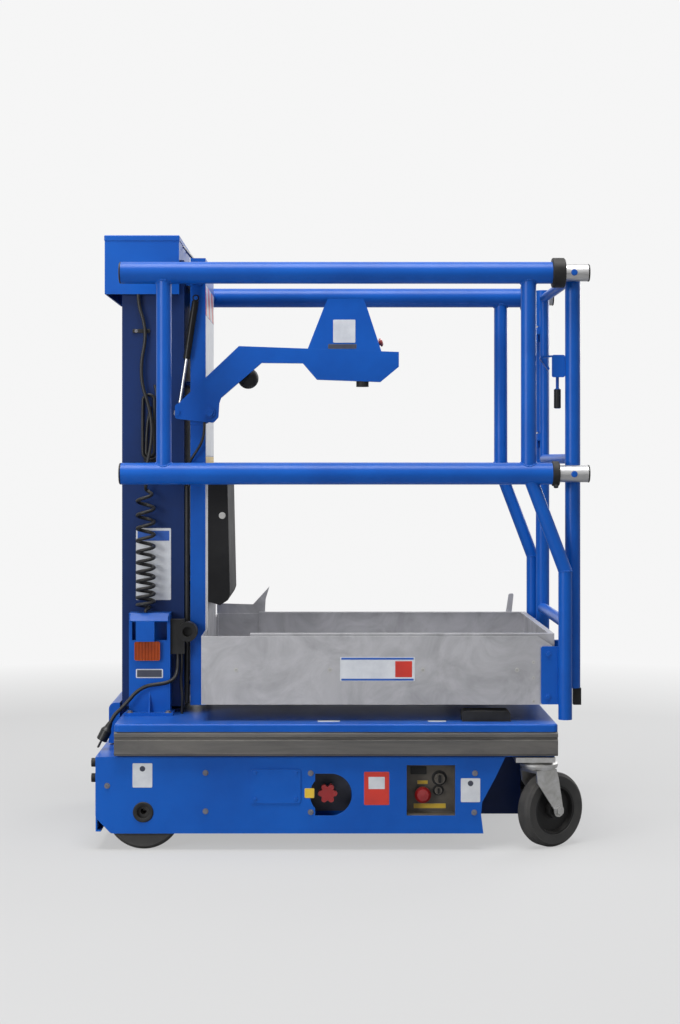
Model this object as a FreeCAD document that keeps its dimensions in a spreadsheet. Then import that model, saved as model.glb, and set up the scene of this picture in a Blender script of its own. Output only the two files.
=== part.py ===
# Self-propelled vertical mast lift, stowed, standing on its four wheels.
# Millimetres. +X runs from the mast to the casters, +Z up, the origin on the
# floor under the middle of the machine. "near" is the -Y side, "far" the +Y side.
import FreeCAD, Part
import math
import os
import re
import Sketcher

doc = FreeCAD.newDocument("mast_lift")
sheet = doc.addObject("Spreadsheet::Sheet", "Sizes")

# Driving dimensions: name, value in mm (or degrees where the name says angle).
SIZES = {
    # lower chassis: one folded box between two side panels
    "panel_rear": -603,
    "panel_front": 410,
    "panel_bottom": 42,
    "panel_top": 231,
    "panel_stand": 5,
    "panel_wall": 4,
    "battery_rear": -330,
    "battery_length": 370,
    "nose_back": 353,
    "nose_bend": 120,
    "well_depth": 75,
    "wheel_inset": 35,
    "sheet_wall": 4,
    "cover_rear": -219,
    "cover_width": 123,
    "cover_height": 84,
    "knob_place": -29,
    "knob_rise": 96,
    "knob_window": 52,
    "window_rear": 166,
    "window_width": 120,
    "window_height": 125,
    "recess_depth": 50,
    # upper frame, top plate and bumpers
    "deck_rear": -555,
    "deck_front": 538,
    "deck_top": 315,
    "deck_edge": 19,
    "plate_lap": 5.5,
    "frame_half": 360,
    "frame_wall": 6,
    "bumper_depth": 25,
    "bumper_gap": 1,
    "rest_rear": 306,
    "rest_length": 120,
    "rest_height": 26,
    # drive wheels
    "drive_x": -485,
    "drive_radius": 95,
    "drive_width": 50,
    "drive_hub_radius": 58,
    # casters
    "caster_x": 497,
    "caster_trail": 37,
    "caster_radius": 93,
    "caster_width": 44,
    "caster_hub_radius": 62,
    "caster_crown": 191,
    "caster_plate": 12,
    "race_radius": 47,
    "fork_gap": 28,
    "fork_wall": 4,
    "run_gap": 0.3,
    "seat_gap": 0.1,
    # telescopic mast, nested box sections, the outermost carries the platform
    "mast_rear": -558,
    "mast_front": -398,
    "mast_half": 175,
    "mast_bottom": 331,
    "mast_top": 1480,
    "mast_wall": 5,
    "nest_gap": 14,
    "nest_drop": 18,
    "pad_height": 60,
    "hood_rear": -601,
    "hood_front": -410,
    "hood_overhang": 15,
    "hood_lip": 13,
    "hood_skirt": 89,
    "hood_rise": 62,
    "hood_wall": 3,
    "front_back": -382,
    "front_face": -343,
    "front_rise": 5,
    "front_bottom": 334,
    "rib_half": 110,
    "rib_pitch": 260,
    "pad_bottom": 591,
    "pad_top": 938,
    # platform trays
    "tray_inset": 13,
    "tray_nose": 529,
    "tray_bottom": 357,
    "tray_top": 527,
    "tray_wall": 4,
    "tray_clear": 6,
    "tray_lip": 14,
    "lever_place": 432,
    "inner_rear": -222,
    "inner_front": 536,
    "inner_rise": 6,
    # guard rails
    "rail_half": 350,
    "rail_od": 54,
    "rail_tube_wall": 3,
    "rail_rear": -541,
    "rail_front": 527,
    "top_rail_z": 1429,
    "mid_rail_z": 931,
    "post_od": 38,
    "rear_post_x": -435,
    "front_post_x": 469,
    "leg_x": 560,
    "leg_od": 34,
    "leg_bend_z": 690,
    "leg_bottom": 322,
    "slide_od": 42.4,
    "slide_front": 616,
    "collar_od": 74,
    "collar_length": 32,
    "ring_od": 62,
    "ring_length": 18,
    "slide_rear": 60,
    # extension posts and gate
    "end_post_x": 584,
    "end_post_bottom": 396,
    "gate_drop": 8,
    "gate_od": 25,
    "stile_inset": 37.8,
    "gate_lift": 37,
    "gate_hinge_back": 19,
    "hinge_inset": 22.2,
    "low_bar_z": 545,
    "latch_z": 1200,
    "knuckle_z": 1000,
    "knuckle_pitch": 300,
    # control arm, console and gas strut
    "arm_stand": 25,
    "arm_width": 20,
    "console_width": 60,
    "arm_wall": 4,
    "arm_reach": 485,
    "console_rear": 249,
    "arm_pivot_x": -331,
    "arm_pivot_z": 1086,
    "buffer_radius": 27,
    "strut_arm": 81,
    "strut_top_back": 36,
    "strut_top_rise": 295,
    "strut_radius": 9,
    "strut_rod_radius": 4,
    "strut_cylinder": 158,
    "strut_stand": 11,
    # pillars beside the mast
    "pillar_rear": -535,
    "pillar_front": -430,
    "pillar_gap": 6,
    "pillar_depth": 44,
    "pillar_foot": 8,
    "visor_reach": 20,
    "pillar_top": 575,
    "pillar_wall": 4,
    # cords
    "curly_x": -494,
    "curly_od": 52,
    "curly_length": 327.7,
    "cable_od": 9,
    "lead_od": 10,
}

# Places that follow from the sizes. "half" and the Y places are distances from the
# middle plane, so each serves both sides.
PANEL_OUT = "(frame_half + panel_stand)"
WELL_WALL = f"({PANEL_OUT} - well_depth)"
WHEEL_Y = f"({PANEL_OUT} - wheel_inset)"
BUMPER_OUT = "(frame_half + bumper_depth)"
NOSE_BACK = "(nose_back - 2 * panel_wall)"
HOOD_HALF = "(mast_half + hood_overhang)"
HOOD_BOTTOM = "(mast_top - hood_skirt)"
HOOD_TOP = "(mast_top + hood_rise)"
FRONT_TOP = "(mast_top + front_rise)"
TRAY_HALF = "(rail_half - tray_inset)"
END_POST_Y = "(rail_half - slide_od / 2 - post_od / 2)"
STILE_Y = f"({END_POST_Y} - stile_inset)"
HINGE_Y = f"({END_POST_Y} - hinge_inset)"
HINGE_X = "(end_post_x - gate_hinge_back)"
GATE_TOP = "(top_rail_z - gate_drop)"
GATE_LOW = "(mid_rail_z + gate_lift)"
ARM_OUT = "(mast_half + arm_stand)"
STRUT_Y = "(mast_half + strut_stand)"
STRUT_EYE_X = "(arm_pivot_x - strut_arm)"
STRUT_TOP_X = "(arm_pivot_x - strut_top_back)"
STRUT_TOP_Z = "(arm_pivot_z + strut_top_rise)"
PILLAR_IN = "(mast_half + pillar_gap)"
PILLAR_OUT = f"({PILLAR_IN} + pillar_depth)"
CURLY_Y = "(mast_half + 6 + curly_od / 2)"

for row, (name, value) in enumerate(SIZES.items(), start=1):
    sheet.set(f"A{row}", name)
    sheet.set(f"B{row}", str(value))
    sheet.setAlias(f"B{row}", name)
doc.recompute()


def bound(text):
    """An expression with each size's name pointing at its cell."""
    def cell(word):
        return "Sizes." + word.group() if word.group() in SIZES else word.group()
    return re.sub(r"[a-z][a-z0-9_]*", cell, str(text))


def number(text):
    """What an expression of sizes comes to now."""
    return float(sheet.evalExpression(bound(text)))


def put(item, at, turn=None):
    """Bind an object's place to the sizes; turn is (axis, angle in degrees)."""
    if turn:
        item.Placement = FreeCAD.Placement(
            FreeCAD.Vector(), FreeCAD.Rotation(FreeCAD.Vector(*turn[0]), number(turn[1])))
    for axis, place in zip("xyz", at):
        item.setExpression(f"Placement.Base.{axis}", bound(place))
    return item


def box(label, low, high):
    """A block between two corners, both given as expressions."""
    item = doc.addObject("Part::Box", label)
    item.Label = label
    for side, start, end in zip(("Length", "Width", "Height"), low, high):
        item.setExpression(side, bound(f"({end}) - ({start})"))
    return put(item, low)


def rod(label, radius, length, at, axis="z", angle=360):
    """A round bar that starts at a point and runs along x, y or z."""
    item = doc.addObject("Part::Cylinder", label)
    item.Label = label
    item.setExpression("Radius", bound(radius))
    item.setExpression("Height", bound(length))
    turn = {"x": ((0, 1, 0), 90), "y": ((1, 0, 0), -90), "z": None}[axis]
    return put(item, at, turn)


def joined(label, pieces):
    """Pieces welded into one."""
    item = doc.addObject("Part::MultiFuse", label)
    item.Label = label
    item.Shapes = pieces
    item.Refine = True
    return item


def cut(label, base, tool):
    """A piece with another taken out of it."""
    item = doc.addObject("Part::Cut", label)
    item.Label = label
    item.Base = base
    item.Tool = tool
    item.Refine = True
    return item


def group(label, pieces):
    """Like pieces that don't touch, kept under one name."""
    item = doc.addObject("Part::Compound", label)
    item.Label = label
    item.Links = pieces
    return item


def origin_plane(body, role):
    return next(plane for plane in body.Origin.OriginFeatures if plane.Role == role)


def draw_loop(sketch, loop):
    """Draw a closed loop: ("circle", x, y, radius) or corner points of expressions."""
    if loop[0] == "circle":
        x, y, radius = loop[1:]
        centre = FreeCAD.Vector(number(x), number(y), 0)
        edge = sketch.addGeometry(Part.Circle(centre, FreeCAD.Vector(0, 0, 1), number(radius)), False)
        at_x = sketch.addConstraint(Sketcher.Constraint("DistanceX", -1, 1, edge, 3, number(x)))
        at_y = sketch.addConstraint(Sketcher.Constraint("DistanceY", -1, 1, edge, 3, number(y)))
        size = sketch.addConstraint(Sketcher.Constraint("Radius", edge, number(radius)))
        rules = ((at_x, x), (at_y, y), (size, radius))
    else:
        points = [FreeCAD.Vector(number(x), number(y), 0) for x, y in loop]
        edges = [
            sketch.addGeometry(Part.LineSegment(start, end), False)
            for start, end in zip(points, points[1:] + points[:1])]
        rules = []
        for spot, edge in enumerate(edges):
            after = edges[(spot + 1) % len(edges)]
            sketch.addConstraint(Sketcher.Constraint("Coincident", edge, 2, after, 1))
        for edge, (x, y) in zip(edges, loop):
            at_x = sketch.addConstraint(Sketcher.Constraint("DistanceX", -1, 1, edge, 1, number(x)))
            at_y = sketch.addConstraint(Sketcher.Constraint("DistanceY", -1, 1, edge, 1, number(y)))
            rules += [(at_x, x), (at_y, y)]
    for rule, text in rules:
        sketch.setExpression(f"Constraints[{rule}]", bound(text))


def drawn_body(label, plane, loops):
    body = doc.addObject("PartDesign::Body", label)
    body.Label = label
    sketch = body.newObject("Sketcher::SketchObject", label + "_outline")
    sketch.AttachmentSupport = (origin_plane(body, plane + "_Plane"), "")
    sketch.MapMode = "FlatFace"
    for loop in loops:
        draw_loop(sketch, loop)
    sketch.Visibility = False
    return body, sketch


def plate(label, plane, loops, thickness, at, rounds=None, turn=None):
    """A sheet or tube drawn on XY, XZ or YZ and grown both ways from there.
    The first loop is its outline, the others its holes; rounds gives the
    outline's corners that are rounded, by number, and their radius."""
    body, sketch = drawn_body(label, plane, loops)
    pad = body.newObject("PartDesign::Pad", label + "_pad")
    pad.Profile = sketch
    pad.SideType = "Symmetric"
    pad.setExpression("Length", bound(thickness))
    if rounds:
        corners, radius = rounds
        doc.recompute()
        flat = {"XY": (0, 1), "XZ": (0, 2), "YZ": (1, 2)}[plane]
        targets = [tuple(number(part) for part in loops[0][spot]) for spot in corners]
        names = []
        for count, edge in enumerate(pad.Shape.Edges, start=1):
            ends = [tuple(vertex.Point) for vertex in edge.Vertexes]
            if len(ends) != 2:
                continue
            first, last = ([end[flat[0]], end[flat[1]]] for end in ends)
            for target in targets:
                if math.dist(first, target) < 0.01 and math.dist(last, target) < 0.01:
                    names.append(f"Edge{count}")
        fillet = body.newObject("PartDesign::Fillet", label + "_rounds")
        fillet.Base = (pad, names)
        fillet.setExpression("Radius", bound(radius))
        body.Tip = fillet
    return put(body, at, turn)


def turned(label, profile, at, turn=None):
    """A piece turned on a lathe: profile points are (radius, height) about Z."""
    body, sketch = drawn_body(label, "XZ", [profile])
    spun = body.newObject("PartDesign::Revolution", label + "_turned")
    spun.Profile = sketch
    spun.ReferenceAxis = (sketch, ["V_Axis"])
    spun.Angle = 360
    return put(body, at, turn)


def softened(body, level, radius):
    """Round the edges of a drawn body that lie in one level plane of its own."""
    doc.recompute()
    tip = body.Tip
    names = [
        f"Edge{count}" for count, edge in enumerate(tip.Shape.Edges, start=1)
        if all(abs(vertex.Z - number(level)) < 0.01 for vertex in edge.Vertexes)]
    fillet = body.newObject("PartDesign::Fillet", body.Label + "_soft")
    fillet.Base = (tip, names)
    fillet.setExpression("Radius", bound(radius))
    body.Tip = fillet
    return body


def frame_loop(low_x, low_y, high_x, high_y):
    return [(low_x, low_y), (high_x, low_y), (high_x, high_y), (low_x, high_y)]


NODES = []


def keep(item):
    """Mark a finished sub-part for export under its label."""
    NODES.append(item)
    return item


SIDES = (("near", "-1"), ("far", "1"))

# Lower chassis: floor, nose, top and tail folded from one sheet, walls inside it
# that part the wheel wells from the battery bay.
SLANT = "(panel_front - nose_back) / (panel_top - nose_bend)"
shell_outer = [
    ("panel_rear", "panel_bottom + panel_wall"),
    (NOSE_BACK, "panel_bottom + panel_wall"),
    (NOSE_BACK, "nose_bend"),
    ("panel_front - 2 * panel_wall", "panel_top"),
    ("panel_rear", "panel_top"),
]
shell_inner = [
    ("panel_rear + sheet_wall", "panel_bottom + panel_wall + sheet_wall"),
    (f"{NOSE_BACK} - 1.13 * sheet_wall", "panel_bottom + panel_wall + sheet_wall"),
    (f"{NOSE_BACK} - 1.13 * sheet_wall", "nose_bend"),
    (f"panel_front - 2 * panel_wall - 1.13 * sheet_wall - sheet_wall * {SLANT}", "panel_top - sheet_wall"),
    ("panel_rear + sheet_wall", "panel_top - sheet_wall"),
]
inner_width = f"2 * ({PANEL_OUT} - panel_wall)"
shell = plate("chassis_shell", "XZ", [shell_outer, shell_inner], inner_width, ("0", "0", "0"))
walls = [
    plate(f"{side}_well_wall", "XZ", [shell_inner], "sheet_wall",
          ("0", f"{hand} * ({WELL_WALL} - sheet_wall / 2)", "0"))
    for side, hand in SIDES]
well_ends = [
    box(f"{side}_well_end",
        ("drive_x + drive_radius + 10", f"min({hand} * {WELL_WALL}; {hand} * ({PANEL_OUT} - panel_wall))",
         "panel_bottom + 2 * panel_wall"),
        ("drive_x + drive_radius + 10 + sheet_wall",
         f"max({hand} * {WELL_WALL}; {hand} * ({PANEL_OUT} - panel_wall))", "panel_top - sheet_wall"))
    for side, hand in SIDES]
well_holes = [
    box(f"{side}_well_hole",
        ("drive_x - drive_radius - 10", f"min({hand} * {WELL_WALL}; {hand} * {PANEL_OUT})", "panel_bottom"),
        ("drive_x + drive_radius + 10", f"max({hand} * {WELL_WALL}; {hand} * {PANEL_OUT})",
         "panel_bottom + panel_wall + sheet_wall + 1"))
    for side, hand in SIDES]
keep(cut("lower_chassis", joined("chassis_welded", [shell] + walls + well_ends),
         joined("well_holes", well_holes)))

# Side panels: the nose sweeps back to clear the caster wheel as it swivels.
panel_outline = [
    ("panel_rear", "panel_top"),
    ("panel_rear", "panel_bottom + 40"),
    ("panel_rear + 38", "panel_bottom"),
    ("nose_back + 3", "panel_bottom"),
    ("nose_back - 3", "nose_bend - 30"),
    ("nose_back", "nose_bend"),
    ("nose_back + 32", "panel_top - 52"),
    ("panel_front", "panel_top"),
]
grommet_hole = ("circle", "drive_x", "drive_radius", "23")


def side_panel(side, hand):
    return plate(f"{side}_panel_sheet", "XZ", [panel_outline, grommet_hole], "panel_wall",
                 ("0", f"{hand} * ({PANEL_OUT} - panel_wall / 2)", "0"), rounds=((1, 2, 4), "12"))


near_sheet = side_panel("near", "-1")
knob_x, knob_z = "knob_place", "(panel_bottom + knob_rise)"
window_low = ("window_rear", "(panel_top - 20 - window_height)")
window_high = ("(window_rear + window_width)", "(panel_top - 20)")
window = joined("panel_windows", [
    box("knob_window_flat", (f"{knob_x} - 31", f"-{PANEL_OUT} - 1", f"{knob_z} - knob_window"),
        (f"{knob_x} + 8", f"-{PANEL_OUT} + panel_wall + 1", f"{knob_z} + knob_window")),
    rod("knob_window_round", "knob_window", "panel_wall + 2", (f"{knob_x} + 8", f"-{PANEL_OUT} - 1", knob_z), "y"),
    box("control_window", (window_low[0], f"-{PANEL_OUT} - 1", window_low[1]),
        (window_high[0], f"-{PANEL_OUT} + panel_wall + 1", window_high[1]))])
keep(cut("near_side_panel", near_sheet, window))
far_sheet = side_panel("far", "1")
far_sheet.Label = "far_side_panel"
keep(far_sheet)
keep(plate("cover_plate", "XZ", [
    frame_loop("cover_rear", "panel_top - 30 - cover_height", "cover_rear + cover_width", "panel_top - 30")],
    "3", ("0", f"-{PANEL_OUT} - 1.5", "0"), rounds=((0, 1, 2, 3), "6")))

# Ground controls: a shallow tray behind the window, its switches on the back.
panel_face = f"(-{PANEL_OUT} + recess_depth)"
recess = cut(
    "control_recess",
    box("recess_block", (f"{window_low[0]} - 4", f"-{PANEL_OUT} + panel_wall", f"{window_low[1]} - 4"),
        (f"{window_high[0]} + 4", f"{panel_face} + 4", f"{window_high[1]} + 4")),
    box("recess_hollow", (window_low[0], f"-{PANEL_OUT}", window_low[1]),
        (window_high[0], panel_face, window_high[1])))
selectors = [
    rod(f"selector_{name}", radius, f"{height} + 1",
        (f"{window_low[0]} + {along}", f"{panel_face} - {height}", f"{window_high[1]} - {drop}"), "y")
    for name, radius, height, along, drop in (("upper", "13", "16", "84", "40"), ("lower", "9", "14", "81", "70"))]
keep(joined("ground_controls", [recess] + selectors))
keep(turned("ground_stop_button",
            [("0", "0"), ("8", "0"), ("8", "14"), ("20", "16"), ("20", "22"), ("14", "28"), ("0", "30")],
            (f"{window_low[0]} + 42", panel_face, f"{window_high[1]} - 79"), ((1, 0, 0), "90")))

# Release knob: a six-lobed star on its stem, reached through the round window.
lobes = [
    rod(f"knob_lobe_{count}", "7", "20",
        (f"{knob_x} + 17 * cos({60 * count})", f"-{WELL_WALL} - 60", f"{knob_z} + 17 * sin({60 * count})"), "y")
    for count in range(6)]
knob_core = rod("knob_core", "17", "22", (knob_x, f"-{WELL_WALL} - 61", knob_z), "y")
knob_stem = rod("knob_stem", "6", "45", (knob_x, f"-{WELL_WALL} - 45", knob_z), "y")
keep(joined("release_knob", [knob_core, knob_stem] + lobes))

# Upper frame, the plate over it and the rubber profiles along its sides.
frame_top = "deck_top - 5"
ring_rear, ring_front = "deck_rear + plate_lap", "deck_front - plate_lap"
ring = cut(
    "upper_ring",
    box("upper_block", (ring_rear, "-frame_half", "panel_top"), (ring_front, "frame_half", frame_top)),
    box("upper_hollow", (f"{ring_rear} + frame_wall", "-frame_half + frame_wall", "panel_top - 1"),
        (f"{ring_front} - frame_wall", "frame_half - frame_wall", "deck_top + 1")))
guard = plate("rear_guard", "XZ", [[
    ("deck_rear - 37", "panel_top + 5"), ("deck_rear - 37", "deck_top + 25"), ("deck_rear - 9", "deck_top + 25"),
    ("deck_rear - 9", "deck_top - deck_edge - 1"), (ring_rear, "deck_top - deck_edge - 1"),
    (ring_rear, "panel_top + 5")]], "2 * mast_half", ("0", "0", "0"), rounds=((1,), "16"))
keep(joined("upper_frame", [ring, guard]))
plate_block = softened(plate("top_block", "XY", [
    frame_loop("deck_rear", f"-{BUMPER_OUT}", "deck_front", BUMPER_OUT)], "deck_edge",
    ("0", "0", "deck_top - deck_edge / 2"), rounds=((0, 1, 2, 3), "12")), "deck_edge / 2", "5")
keep(cut(
    "top_plate", plate_block,
    box("top_hollow", (ring_rear, f"-{BUMPER_OUT} + plate_lap", "deck_top - deck_edge - 1"),
        (ring_front, f"{BUMPER_OUT} - plate_lap", frame_top))))
bumper_low, bumper_high = "panel_top + 5", "deck_top - deck_edge - bumper_gap"
groove = [(f"{BUMPER_OUT} - {depth}", f"{bumper_high} - {drop}")
          for depth, drop in (("0", "20"), ("6", "18"), ("6", "13"), ("0", "11"))]


def bumper(side, hand):
    outline = [("frame_half", bumper_low), (f"{BUMPER_OUT} - 5", bumper_low), (BUMPER_OUT, f"{bumper_low} + 6")]
    outline += groove
    outline += [(BUMPER_OUT, f"{bumper_high} - 4"), (f"{BUMPER_OUT} - 3", bumper_high), ("frame_half", bumper_high)]
    outline = [(f"{hand} * ({y})", z) for y, z in outline]
    return plate(f"{side}_bumper", "YZ", [outline], "deck_front - deck_rear",
                 ("(deck_front + deck_rear) / 2", "0", "0"))


keep(group("side_bumpers", [bumper(side, hand) for side, hand in SIDES]))

# What carries the casters and the drive wheels, the battery and the rear buffers.
mounts = [
    box(f"{side}_caster_plate",
        ("caster_x - 62", f"{hand} * {WHEEL_Y} - 47", "panel_top - caster_plate"),
        (ring_front, f"{hand} * {WHEEL_Y} + 47", "panel_top"))
    for side, hand in SIDES]
keep(box("battery_pack", ("battery_rear", f"-{WELL_WALL} + 50", "panel_bottom + panel_wall + sheet_wall"),
         ("battery_rear + battery_length", f"{WELL_WALL} - 50", "panel_top - 16")))
mounts += [
    rod(f"{side}_drive_unit", "44", f"{WHEEL_Y} - drive_width / 2 - {WELL_WALL} - run_gap",
        ("drive_x", f"{hand} * ({WELL_WALL} + {WHEEL_Y} - drive_width / 2 - run_gap) / 2"
         f" - ({WHEEL_Y} - drive_width / 2 - {WELL_WALL} - run_gap) / 2", "drive_radius"), "y")
    for side, hand in SIDES]
keep(group("wheel_mounts", mounts))
keep(group("rear_buffers", [
    rod(f"{side}_buffer_{drop}", "11", "13",
        ("panel_rear - 13", f"{hand} * ({PANEL_OUT} - 30)", f"panel_top - {drop}"), "x")
    for side, hand in SIDES for drop in (18, 56)]))
rest_line = [("rest_rear", "deck_top"), ("rest_rear", "deck_top + rest_height"),
             ("rest_rear + rest_length", "deck_top + rest_height"), ("rest_rear + rest_length", "deck_top")]
keep(group("deck_rests", [
    plate(f"{side}_deck_rest", "XZ", [rest_line], "60", ("0", f"{hand} * ({BUMPER_OUT} - 75)", "0"),
          rounds=((1, 2), "10"))
    for side, hand in SIDES]))

# Drive wheels: a solid tyre on a dished hub, axle along Y.
SPIN = ((1, 0, 0), "90")


def wheel(label, radius, width, hub_radius, bore, at, turn):
    """A tyre and its hub on one axle; the hub is dished between rim and boss."""
    tyre = turned(label + "_tyre", [
        (hub_radius, f"-{width} / 2 + 3"), (f"{radius} - 9", f"-{width} / 2"), (f"{radius} - 2", f"-{width} / 2 + 6"),
        (radius, f"-{width} / 4"), (radius, f"{width} / 4"), (f"{radius} - 2", f"{width} / 2 - 6"),
        (f"{radius} - 9", f"{width} / 2"), (hub_radius, f"{width} / 2 - 3")], at, turn)
    hub = turned(label + "_hub", [
        (bore, f"-{width} / 2"), (f"{bore} + 12", f"-{width} / 2"), (f"{bore} + 14", "-6"),
        (f"{hub_radius} - 8", "-6"), (f"{hub_radius} - 5", f"-{width} / 2 + 4"),
        (hub_radius, f"-{width} / 2 + 4"), (hub_radius, f"{width} / 2 - 4"),
        (f"{hub_radius} - 5", f"{width} / 2 - 4"), (f"{hub_radius} - 8", "6"),
        (f"{bore} + 14", "6"), (f"{bore} + 12", f"{width} / 2"), (bore, f"{width} / 2")], at, turn)
    return tyre, hub


for side, hand in SIDES:
    tyre, hub = wheel(f"{side}_drive", "drive_radius", "drive_width", "drive_hub_radius", "8",
                      ("drive_x", f"{hand} * {WHEEL_Y}", "drive_radius"), SPIN)
    keep(joined(f"{side}_drive_wheel", [tyre, hub]))

# Casters: side, hand and the angle at which each fork trails, 0 towards +X.
CASTERS = (("near", "-1", 33), ("far", "1", -40))
for side, hand, trail_angle in CASTERS:
    label = f"{side}_caster"
    swivel = ("caster_x", f"{hand} * {WHEEL_Y}", "0")
    turn = ((0, 0, 1), trail_angle)
    crown_top = "caster_crown + 6"
    leg_outline = [
        ("-33", "caster_crown + 3"), ("31", "caster_crown + 3"), ("38", "caster_crown - 20"),
        ("caster_trail + 13", "caster_radius + 12"), ("caster_trail + 14", "caster_radius"),
        ("caster_trail + 5", "caster_radius - 14"), ("caster_trail - 7", "caster_radius - 13"),
        ("caster_trail - 14", "caster_radius + 4"), ("-30", "caster_crown - 24")]
    legs = [
        plate(f"{label}_leg_{name}", "XZ", [leg_outline], "fork_wall",
              ("0", f"{way} * (fork_gap + fork_wall / 2)", "0"), rounds=((3, 4, 5, 6), "5"))
        for name, way in (("a", "-1"), ("b", "1"))]
    crown = box(f"{label}_crown", ("-33", "-fork_gap - fork_wall", "caster_crown"),
                ("31", "fork_gap + fork_wall", crown_top))
    race_top = "(panel_top - caster_plate - run_gap)"
    race = turned(f"{label}_race", [
        ("0", crown_top), ("38", crown_top), ("40", f"{crown_top} + 4"), ("race_radius - 2", f"{crown_top} + 4"),
        ("race_radius", f"{race_top} - 12"), ("race_radius", f"{race_top} - 7"), ("race_radius - 9", race_top),
        ("0", race_top)], ("0", "0", "0"))
    axle = rod(f"{label}_axle", "7.95", "2 * (fork_gap + fork_wall + 6)",
               ("caster_trail", "-fork_gap - fork_wall - 6", "caster_radius"), "y")
    fork = joined(f"{label}_fork", legs + [crown, race, axle])
    keep(put(fork, swivel, turn))
    angle = math.radians(trail_angle)
    spot = (f"caster_x + caster_trail * {math.cos(angle):.6f}",
            f"{hand} * {WHEEL_Y} + caster_trail * {math.sin(angle):.6f}", "caster_radius")
    tyre, hub = wheel(label, "caster_radius", "caster_width", "caster_hub_radius", "8", spot, None)
    for piece in (tyre, hub):
        lie = FreeCAD.Rotation(FreeCAD.Vector(1, 0, 0), 90)
        swing = FreeCAD.Rotation(FreeCAD.Vector(0, 0, 1), trail_angle)
        piece.Placement = FreeCAD.Placement(piece.Placement.Base, swing.multiply(lie))
        keep(piece)

# Telescopic mast: section 0 is outermost and carries the platform, section 3
# stands on the chassis. Each slides on nylon pads inside the one around it.
SECTIONS = (("outer_mast", 0), ("stage_two", 1), ("stage_one", 2), ("inner_mast", 3))


def inset(step):
    """The walls of a mast section: rear, front and half width, outside."""
    return f"mast_rear + {step} * nest_gap", f"mast_front - {step} * nest_gap", f"mast_half - {step} * nest_gap"


def pads(label, step, low, high, outward):
    """Four slide pads on a section, outside its top or inside its foot."""
    rear, front, half = inset(step)
    wide = "(nest_gap - mast_wall - run_gap)"
    reach = [f"({rear})", f"({front})", f"({half})"]
    if not outward:
        reach = [f"({reach[0]} + mast_wall + {wide})", f"({reach[1]} - mast_wall - {wide})",
                 f"({reach[2]} - mast_wall - {wide})"]
    rear, front, half = reach
    spots = [
        ((f"{rear} - {wide}", "-45", low), (rear, "45", high)),
        ((front, "-45", low), (f"{front} + {wide}", "45", high)),
        (("(mast_rear + mast_front) / 2 - 18", half, low), ("(mast_rear + mast_front) / 2 + 18", f"{half} + {wide}", high)),
        (("(mast_rear + mast_front) / 2 - 18", f"-{half} - {wide}", low),
         ("(mast_rear + mast_front) / 2 + 18", f"-{half}", high))]
    return [box(f"{label}_pad_{count}", *spot) for count, spot in enumerate(spots)]


for label, step in SECTIONS:
    rear, front, half = inset(step)
    foot = "deck_top" if step == 3 else "mast_bottom"
    head = f"mast_top - {step} * nest_drop"
    walls = [
        frame_loop(rear, f"-({half})", front, half),
        frame_loop(f"{rear} + mast_wall", f"-({half}) + mast_wall", f"{front} - mast_wall", f"{half} - mast_wall")]
    section = plate(f"{label}_tube", "XY", walls, f"{head} - {foot}", ("0", "0", f"({head} + {foot}) / 2"))
    sliders = []
    if step < 3:
        sliders += pads(label + "_foot", step, foot, f"{foot} + pad_height", False)
    if step > 0:
        sliders += pads(label + "_head", step, f"{head} - pad_height", head, True)
    if step == 3:
        section.Label = "inner_mast_tube"
        base = plate("inner_mast_base", "XY", [
            frame_loop("mast_rear + 12", "-mast_half + 12", "mast_front - 12", "mast_half - 12")], "8",
            ("0", "0", "deck_top + 4"), rounds=((0, 1, 2, 3), "10"))
        keep(joined("inner_mast", [section, base]))
    else:
        section.Label = label
        keep(section)
    keep(group(f"{label}_pads", sliders))

hood_block = box("hood_block", ("hood_rear", f"-{HOOD_HALF}", HOOD_BOTTOM), ("hood_front", HOOD_HALF, HOOD_TOP))
hood_inside = box("hood_inside", ("hood_rear + hood_wall", f"-{HOOD_HALF} + hood_wall", f"{HOOD_BOTTOM} - 1"),
                  ("hood_front - hood_wall", f"{HOOD_HALF} - hood_wall", f"{HOOD_TOP} - hood_wall"))
hood_shelf = box("hood_shelf", ("mast_rear", f"-{HOOD_HALF} + hood_wall", "mast_top"),
                 ("hood_front - hood_wall", f"{HOOD_HALF} - hood_wall", "mast_top + 4"))
hood_notch = box("hood_notch", ("hood_front - hood_wall - 2", "-mast_half", f"{HOOD_BOTTOM} - 1"),
                 ("hood_front + 1", "mast_half", "mast_top"))
hood_lid = softened(plate("hood_lid", "XY", [
    frame_loop("hood_rear - 1.5", f"-{HOOD_HALF} - 1.5", "hood_front + 1.5", f"{HOOD_HALF} + 1.5")], "hood_lip",
    ("0", "0", f"{HOOD_TOP} - hood_lip / 2"), rounds=((0, 1, 2, 3), "3")), "hood_lip / 2", "2.5")
hood_sheets = [cut("hood_shell", hood_block, hood_inside), hood_shelf, cut(
    "hood_lid_sheet", hood_lid,
    box("hood_lid_inside", ("hood_rear + hood_wall", f"-{HOOD_HALF} + hood_wall", f"{HOOD_TOP} - hood_lip - 1"),
        ("hood_front - hood_wall", f"{HOOD_HALF} - hood_wall", f"{HOOD_TOP} - hood_wall")))]
keep(cut("mast_hood", joined("hood_sheet", hood_sheets), hood_notch))

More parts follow.
